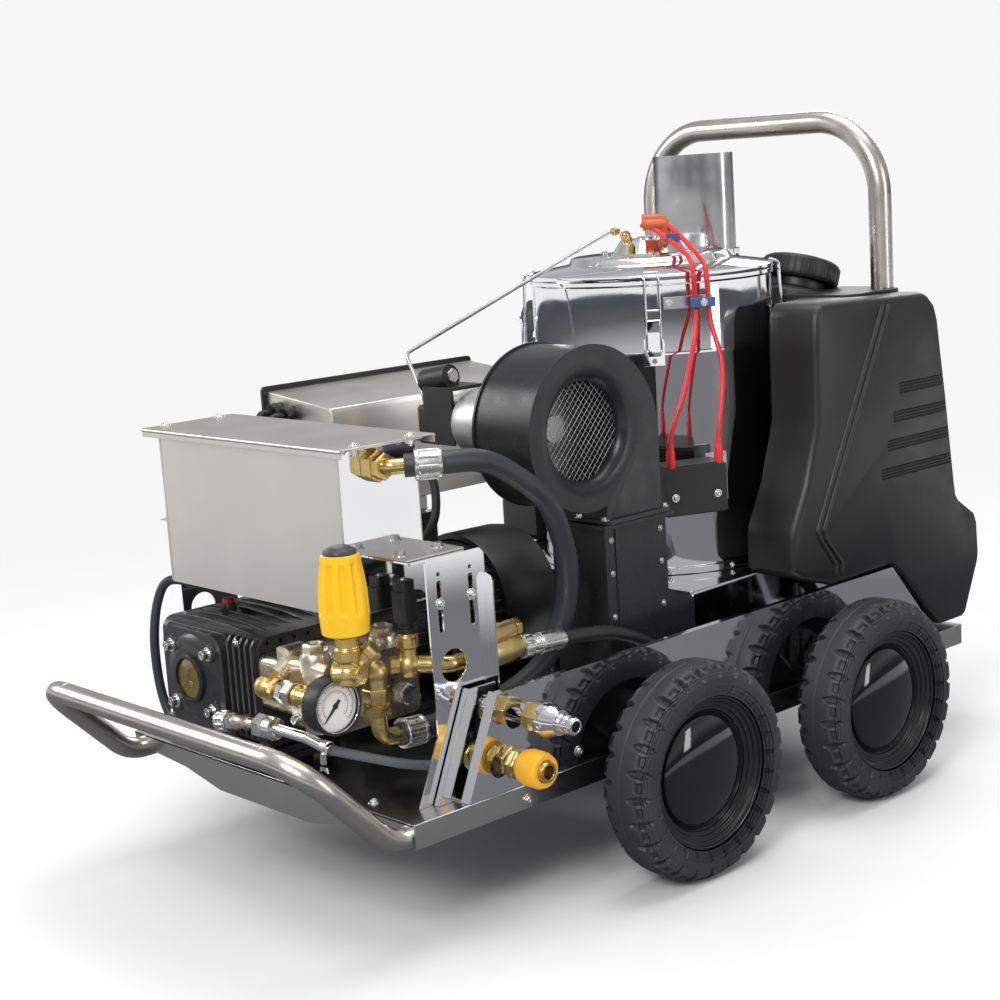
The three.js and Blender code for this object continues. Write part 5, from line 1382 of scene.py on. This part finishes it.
LEAD_ROUTES = [
    [(170.5, 521.5, 432), (171, 522, 468), (175, 545, 520), (170, 571, 570), (153, 600, 612),
     (150, 602, 640),
     (151, 600, 662), (137, 611, 680), (86, 640, 697), (46, 650, 714), (24, 646, 722)],
    [(196.5, 580, 432), (197, 581, 466), (194, 594, 510), (184, 608, 555), (165, 613, 602),
     (161, 615, 634),
     (158, 616, 660), (144, 626, 677), (84, 654, 706), (40, 668, 724), (18, 660, 728)]]
BOOT_BENDS = [
    [(36, 676, 698), (36, 676, 728), (16, 656, 728)],
    [(50, 664, 696), (50, 664, 722), (28, 644, 722)]]


def make_leads():
    leads = Piece()
    for route in LEAD_ROUTES:
        leads.tube(smooth_route(route, 9), 3.4, LEAD, 18)
        start, near = Vector(route[0]), Vector(route[1])
        leads.turned([(0, 0), (5.6, 0), (5.6, 20), (4.6, 22), (4.6, 27), (3.8, 30), (0, 30)], start,
                     near - start,
                     LEAD, 28)
    for foot, elbow, mouth in BOOT_BENDS:
        leads.tube(bent_route([foot, elbow, mouth], 7, 6), 6.6, BOOT, 24)
        leads.turned([(0, 0), (7.4, 0), (7.4, 4), (6.6, 5), (0, 5)], mouth,
                     Vector(elbow) - Vector(mouth),
                     BOOT, 24)
    shell, start, end = BOILER["radius"] + 0.4, math.radians(-42), math.radians(-19)
    sweep = [start + (end - start) * k / 16 for k in range(17)]
    strap = [(shell * math.cos(t), BOILER["y"] + shell * math.sin(t)) for t in sweep]
    strap += [((shell + 2.4) * math.cos(t), BOILER["y"] + (shell + 2.4) * math.sin(t))
              for t in reversed(sweep)]
    leads.prism(strap, "z", 620, 635, BARE)
    for t in (start + 0.04, end - 0.04):
        out = Vector((math.cos(t), math.sin(t), 0))
        leads.screw(Vector((0, BOILER["y"], 627.5)) + out * (shell + 2.4), out, 3.2, ZINC)
    block = [(146, 598), (154, 592.5), (171, 617), (163, 622.5)]
    leads.prism(block, "z", 621, 633, BLUE)
    leads.screw((163.2, 604.2, 627), Vector((0.82, -0.57, 0)), 3.2, ZINC)
    leads.prism([(62, 652), (72, 640), (84, 652), (74, 664)], "z", 699, 710, BLUE)
    leads.done("ignition_leads_booted", ROOT, ["ignition_leads"], bevel=0.5)


# ---------------------------------------------------------------- fuel tank
TANK_SIDE = 268.6
GROOVE = {"front": 858, "rear": 978, "top": 496, "pitch": 36}


def make_fuel_tank():
    tank = Piece()
    outline = [(705, 616), (697, 611), (691, 600), (689, 560), (688, 470), (661, 392), (634, 344),
               (631, 330),
               (631, 290), (640, 282), (704, 260), (835, 260), (862, 238), (942, 158), (950, 156),
               (994, 156),
               (1002, 160), (1034, 226), (1036, 238), (1034, 280), (1028, 294), (992, 318), (986, 326),
               (983, 344), (967, 470), (949, 578), (943, 594), (928, 608), (915, 612)]
    side = TANK_SIDE
    levels = [(-side, 7), (-side + 2.4, 3), (-side + 8, 0), (side - 8, 0), (side - 2.4, 3), (side, 7)]
    middle = (840, 420)
    rings = []
    for x, trim in levels:
        ring = []
        for y, z in outline:
            away = Vector((y - middle[0], z - middle[1]))
            away -= away.normalized() * trim
            ring.append((x, middle[0] + away.x, middle[1] + away.y))
        rings.append(ring)
    tank.loft(rings, TANK_PE)
    cut = Piece()
    boiler_y = BOILER["y"]
    cut.rod((0, boiler_y, 120), (0, boiler_y, 700), 195, TANK_PE, 96)
    cut.box(-195, 195, 560, boiler_y, 120, 700, TANK_PE)
    cut.box(-203, 203, 560, 860, 120, 285, TANK_PE)
    for sign in (-1, 1):
        x, y = sign * HANDLE["x"], HANDLE["y"]
        cut.rod((x, y, 120), (x, y, 700), 15.6, TANK_PE, 40)
    for sign in (-1, 1):
        for k in range(4):
            z = GROOVE["top"] - GROOVE["pitch"] * k
            for drop in (0, 8):
                cut.rod((sign * (side + 0.6), GROOVE["front"] - 14 * k, z - drop),
                        (sign * (side + 0.6), 1010,
                        z - drop), 3.4, TANK_PE, 16)
            cut.rod((sign * (side - 60), GROOVE["rear"] + 4.7 * k, z - 4),
                    (sign * 300, GROOVE["rear"] + 4.7 * k,
                    z - 4), 9, TANK_PE, 24)
    tank.done("fuel_tank_moulded", ROOT, ["fuel_tank"], bevel=2.6, segments=3, carve=cut)
    trim = Piece()
    for sign in (-1, 1):
        for shift in (0, 13):
            x = sign * (side - 0.4)
            ridge = [(x, 826 + shift, 603), (x, 678 + shift, 334), (x, 684 + shift * 0.8, 322),
                     (x, 712 + shift, 286), (x, 712 + shift, 272)]
            trim.tube(bent_route(ridge, 5, 5), 3.6, TANK_PE, 16)
    hub = Vector((87, 886, 628))
    lean = Vector((0, 0.342, 0.940))
    trim.turned([(0, -50), (72, -50), (70, -26), (64, -20), (44, -17), (40, -14), (40, -1), (0, -1)],
                hub, lean,
                TANK_PE, 72)
    trim.prism(rounded(118, 62, 30, (112, 874)), "z", 606, 617, TANK_PE)
    trim.done("fuel_tank_ridges", ROOT, slot=SLOTS["fuel_tank"], bevel=1.4)
    cap = Piece()
    cap.turned([(0, -2), (50, -2), (52, 0), (53, 3), (53, 22), (51, 26), (47, 28.4), (0, 30)], hub,
               lean, BLACK, 72)
    cap.turned([(0, 28), (30, 28), (31, 30), (29, 31.4), (0, 31.4)], hub, lean, BLACK, 48)
    side_way = X
    other = lean.cross(side_way)
    for k in range(36):
        t = 2 * math.pi * k / 36
        foot = hub + 52.4 * (side_way * math.cos(t) + other * math.sin(t)) + lean * 3
        cap.rod(foot, foot + lean * 20, 1.5, BLACK, 8)
    cap.done("filler_cap_ribbed", "filler_cap", ["filler_cap"], bevel=0.5)


# ---------------------------------------------------------------- control box
KNOBS = (("main_switch_knob", 320, 24), ("thermostat_knob", 430, 20))
KNOB_Z = 470


def make_control_box():
    box = Piece()
    shell = [(-270, 395), (-132, 395), (-132, 520), (-136, 527), (-264, 542.6), (-270, 540)]
    box.prism(shell, "y", 239, 587, SATIN)
    hollow = Piece()
    hollow.prism([(-268, 385), (-134, 385), (-134, 519), (-137, 525), (-263, 540.6), (-268, 539)], "y",
                 241, 585,
                 SATIN)
    box.done("control_box_folded", ROOT, ["control_box"], bevel=1.4, carve=hollow)
    trim = Piece()
    trim.prism(rounded(180, 80, 6, (413, 469)), "x", -273, -268.4, BLACK)
    trim.prism(rounded(172, 72, 5, (413, 469)), "x", -274.2, -272.8, PANEL_GREY)
    for y in (250, 576):
        for z in (405, 533):
            trim.screw((-274, y, z), -X, 3, ZINC, "button")
    trim.box(-270, -230, 398, 472, 394.6, 398, SATIN)
    trim.box(-242, -239, 400, 470, 149.6, 396, SATIN)
    for y in (410, 460):
        trim.screw((-238.8, y, 162), X, 3.4, ZINC)
    for start, end in (((-240, 225, 519), (-240, 240, 522)), ((-214, 225, 516), (-214, 240, 519))):
        trim.rod(start, end, 9, BLACK, 28)
        trim.rod(start, Vector(start) + (Vector(end) - Vector(start)) * 0.55, 11, BLACK, 8)
    trim.tube(smooth_route([(-240, 226, 519), (-240, 206, 516), (-236, 190, 480), (-226, 196, 430),
                            (-200, 240, 396)], 8), 4.5, BLACK, 14)
    trim.tube(smooth_route([(-214, 226, 516), (-214, 204, 512), (-200, 190, 470), (-176, 210, 420),
                            (-150, 262, 392)], 8), 4.5, BLACK, 14)
    for _, y, spindle in KNOBS:
        trim.disc(spindle + 8, 0.6, (-274, y, KNOB_Z), -X, BLACK, 48)
        trim.rod((-262, y, KNOB_Z), (-280, y, KNOB_Z), 5, ZINC, 20)
        for k in range(9):
            t = math.radians(-40 + 32.5 * k)
            direction = Vector((0, math.cos(t), math.sin(t)))
            centre = Vector((-274.8, y, KNOB_Z))
            trim.rod(centre + direction * (spindle + 2.5), centre + direction * (spindle + 6.5), 0.7,
                     DIAL, 6)
    trim.done("control_panel_trim", ROOT, slot=SLOTS["control_box"], bevel=0.5)
    for name, y, radius in KNOBS:
        knob = Piece()
        x = -270
        knob.turned([(5.4, 4.4), (radius, 4.4), (radius, 8), (radius - 2, 12), (radius - 3, 25),
                     (radius - 5, 26),
                     (0, 26), (0, 24), (5.4, 24)], (x, y, KNOB_Z), -X, BLACK, 64)
        knob.box(x - 30, x - 24, y - 3.2, y + 3.2, KNOB_Z - radius + 6, KNOB_Z + radius - 6, BLACK)
        knob.box(x - 30.5, x - 29.4, y - 0.9, y + 0.9, KNOB_Z, KNOB_Z + radius - 7, DIAL)
        for k in range(20):
            t = 2 * math.pi * k / 20
            foot = Vector((x - 9, y + (radius - 2) * math.cos(t), KNOB_Z + (radius - 2) * math.sin(t)))
            knob.rod(foot, foot - X * 14, 1.1, BLACK, 8)
        knob.done(f"{name}_ribbed", name, [name], bevel=0.5)


# ---------------------------------------------------------------- ports on the right side
NIPPLE = (159.5, 229)
COUPLER = (137, 181)


def make_ports():
    nipple = Piece()
    y, z = NIPPLE
    nipple.turned([(0, 252), (11, 252), (11, 288), (0, 288)], (0, y, z), X, CHROME, 36)
    nipple.turned([(0, 284), (16.6, 284), (16.6, 304), (15, 306), (0, 306)], (0, y, z), X, BRASS, 6, 15)
    nipple.turned([(0, 305), (14, 305), (18.6, 307), (18.6, 319), (16, 323), (13.5, 331), (0, 331)],
                  (0, y, z), X, CHROME, 48)
    nipple.turned([(6, 330), (10.6, 330), (10.6, 333), (9, 335), (9, 337), (10.4, 338.5), (10.4, 341),
                   (8.6, 343), (8.6, 345), (10, 346.5), (10, 350), (8.6, 352.6), (6, 353)], (0, y, z), X,
                  CHROME, 40)
    nipple.turned([(0, 329), (6.2, 329), (6.2, 336), (0, 336)], (0, y, z), X, BLACK, 24)
    nipple.done("inlet_nipple_ribbed", ROOT, ["inlet_nipple"], bevel=0.4)
    coupler = Piece()
    y, z = COUPLER
    coupler.turned([(0, 253), (11.5, 253), (11.5, 272), (0, 272)], (0, y, z), X, BRASS, 36)
    coupler.turned([(0, 262), (17.5, 262), (17.5, 275), (16, 276.4), (0, 276.4)], (0, y, z), X, BRASS, 6)
    coupler.turned([(0, 278), (17, 278), (17, 289), (15.5, 291), (0, 291)], (0, y, z), X, BRASS, 6, 20)
    coupler.turned([(0, 288), (14, 288), (14, 294), (11.5, 296), (11.5, 330), (10.5, 332), (7.5, 332),
                    (7.5, 304), (0, 304)], (0, y, z), X, BRASS, 40)
    coupler.done("outlet_coupler_turned", ROOT, ["outlet_coupler"], bevel=0.5)
    sleeve = Piece()
    sleeve.turned([(12.2, 297), (18.2, 297), (18.6, 300), (20, 303), (20, 321), (18.4, 325), (17.6, 327),
                   (12.2, 327)], (0, y, z), X, ORANGE, 56)
    for k in range(20):
        t = 2 * math.pi * k / 20
        foot = Vector((303, y + 19.6 * math.cos(t), z + 19.6 * math.sin(t)))
        sleeve.rod(foot, foot + X * 17, 0.8, ORANGE, 8)
    sleeve.done("coupler_sleeve_orange", "coupler_sleeve", ["coupler_sleeve"], bevel=0.4)


make_motor()
make_blower()
make_duct()
make_burner_motor()
make_boiler()
make_latches()
make_transformer()
make_leads()
make_fuel_tank()
make_control_box()
make_ports()
keep("heating_coil", SOOT)
keep("blower_impeller", BARE)
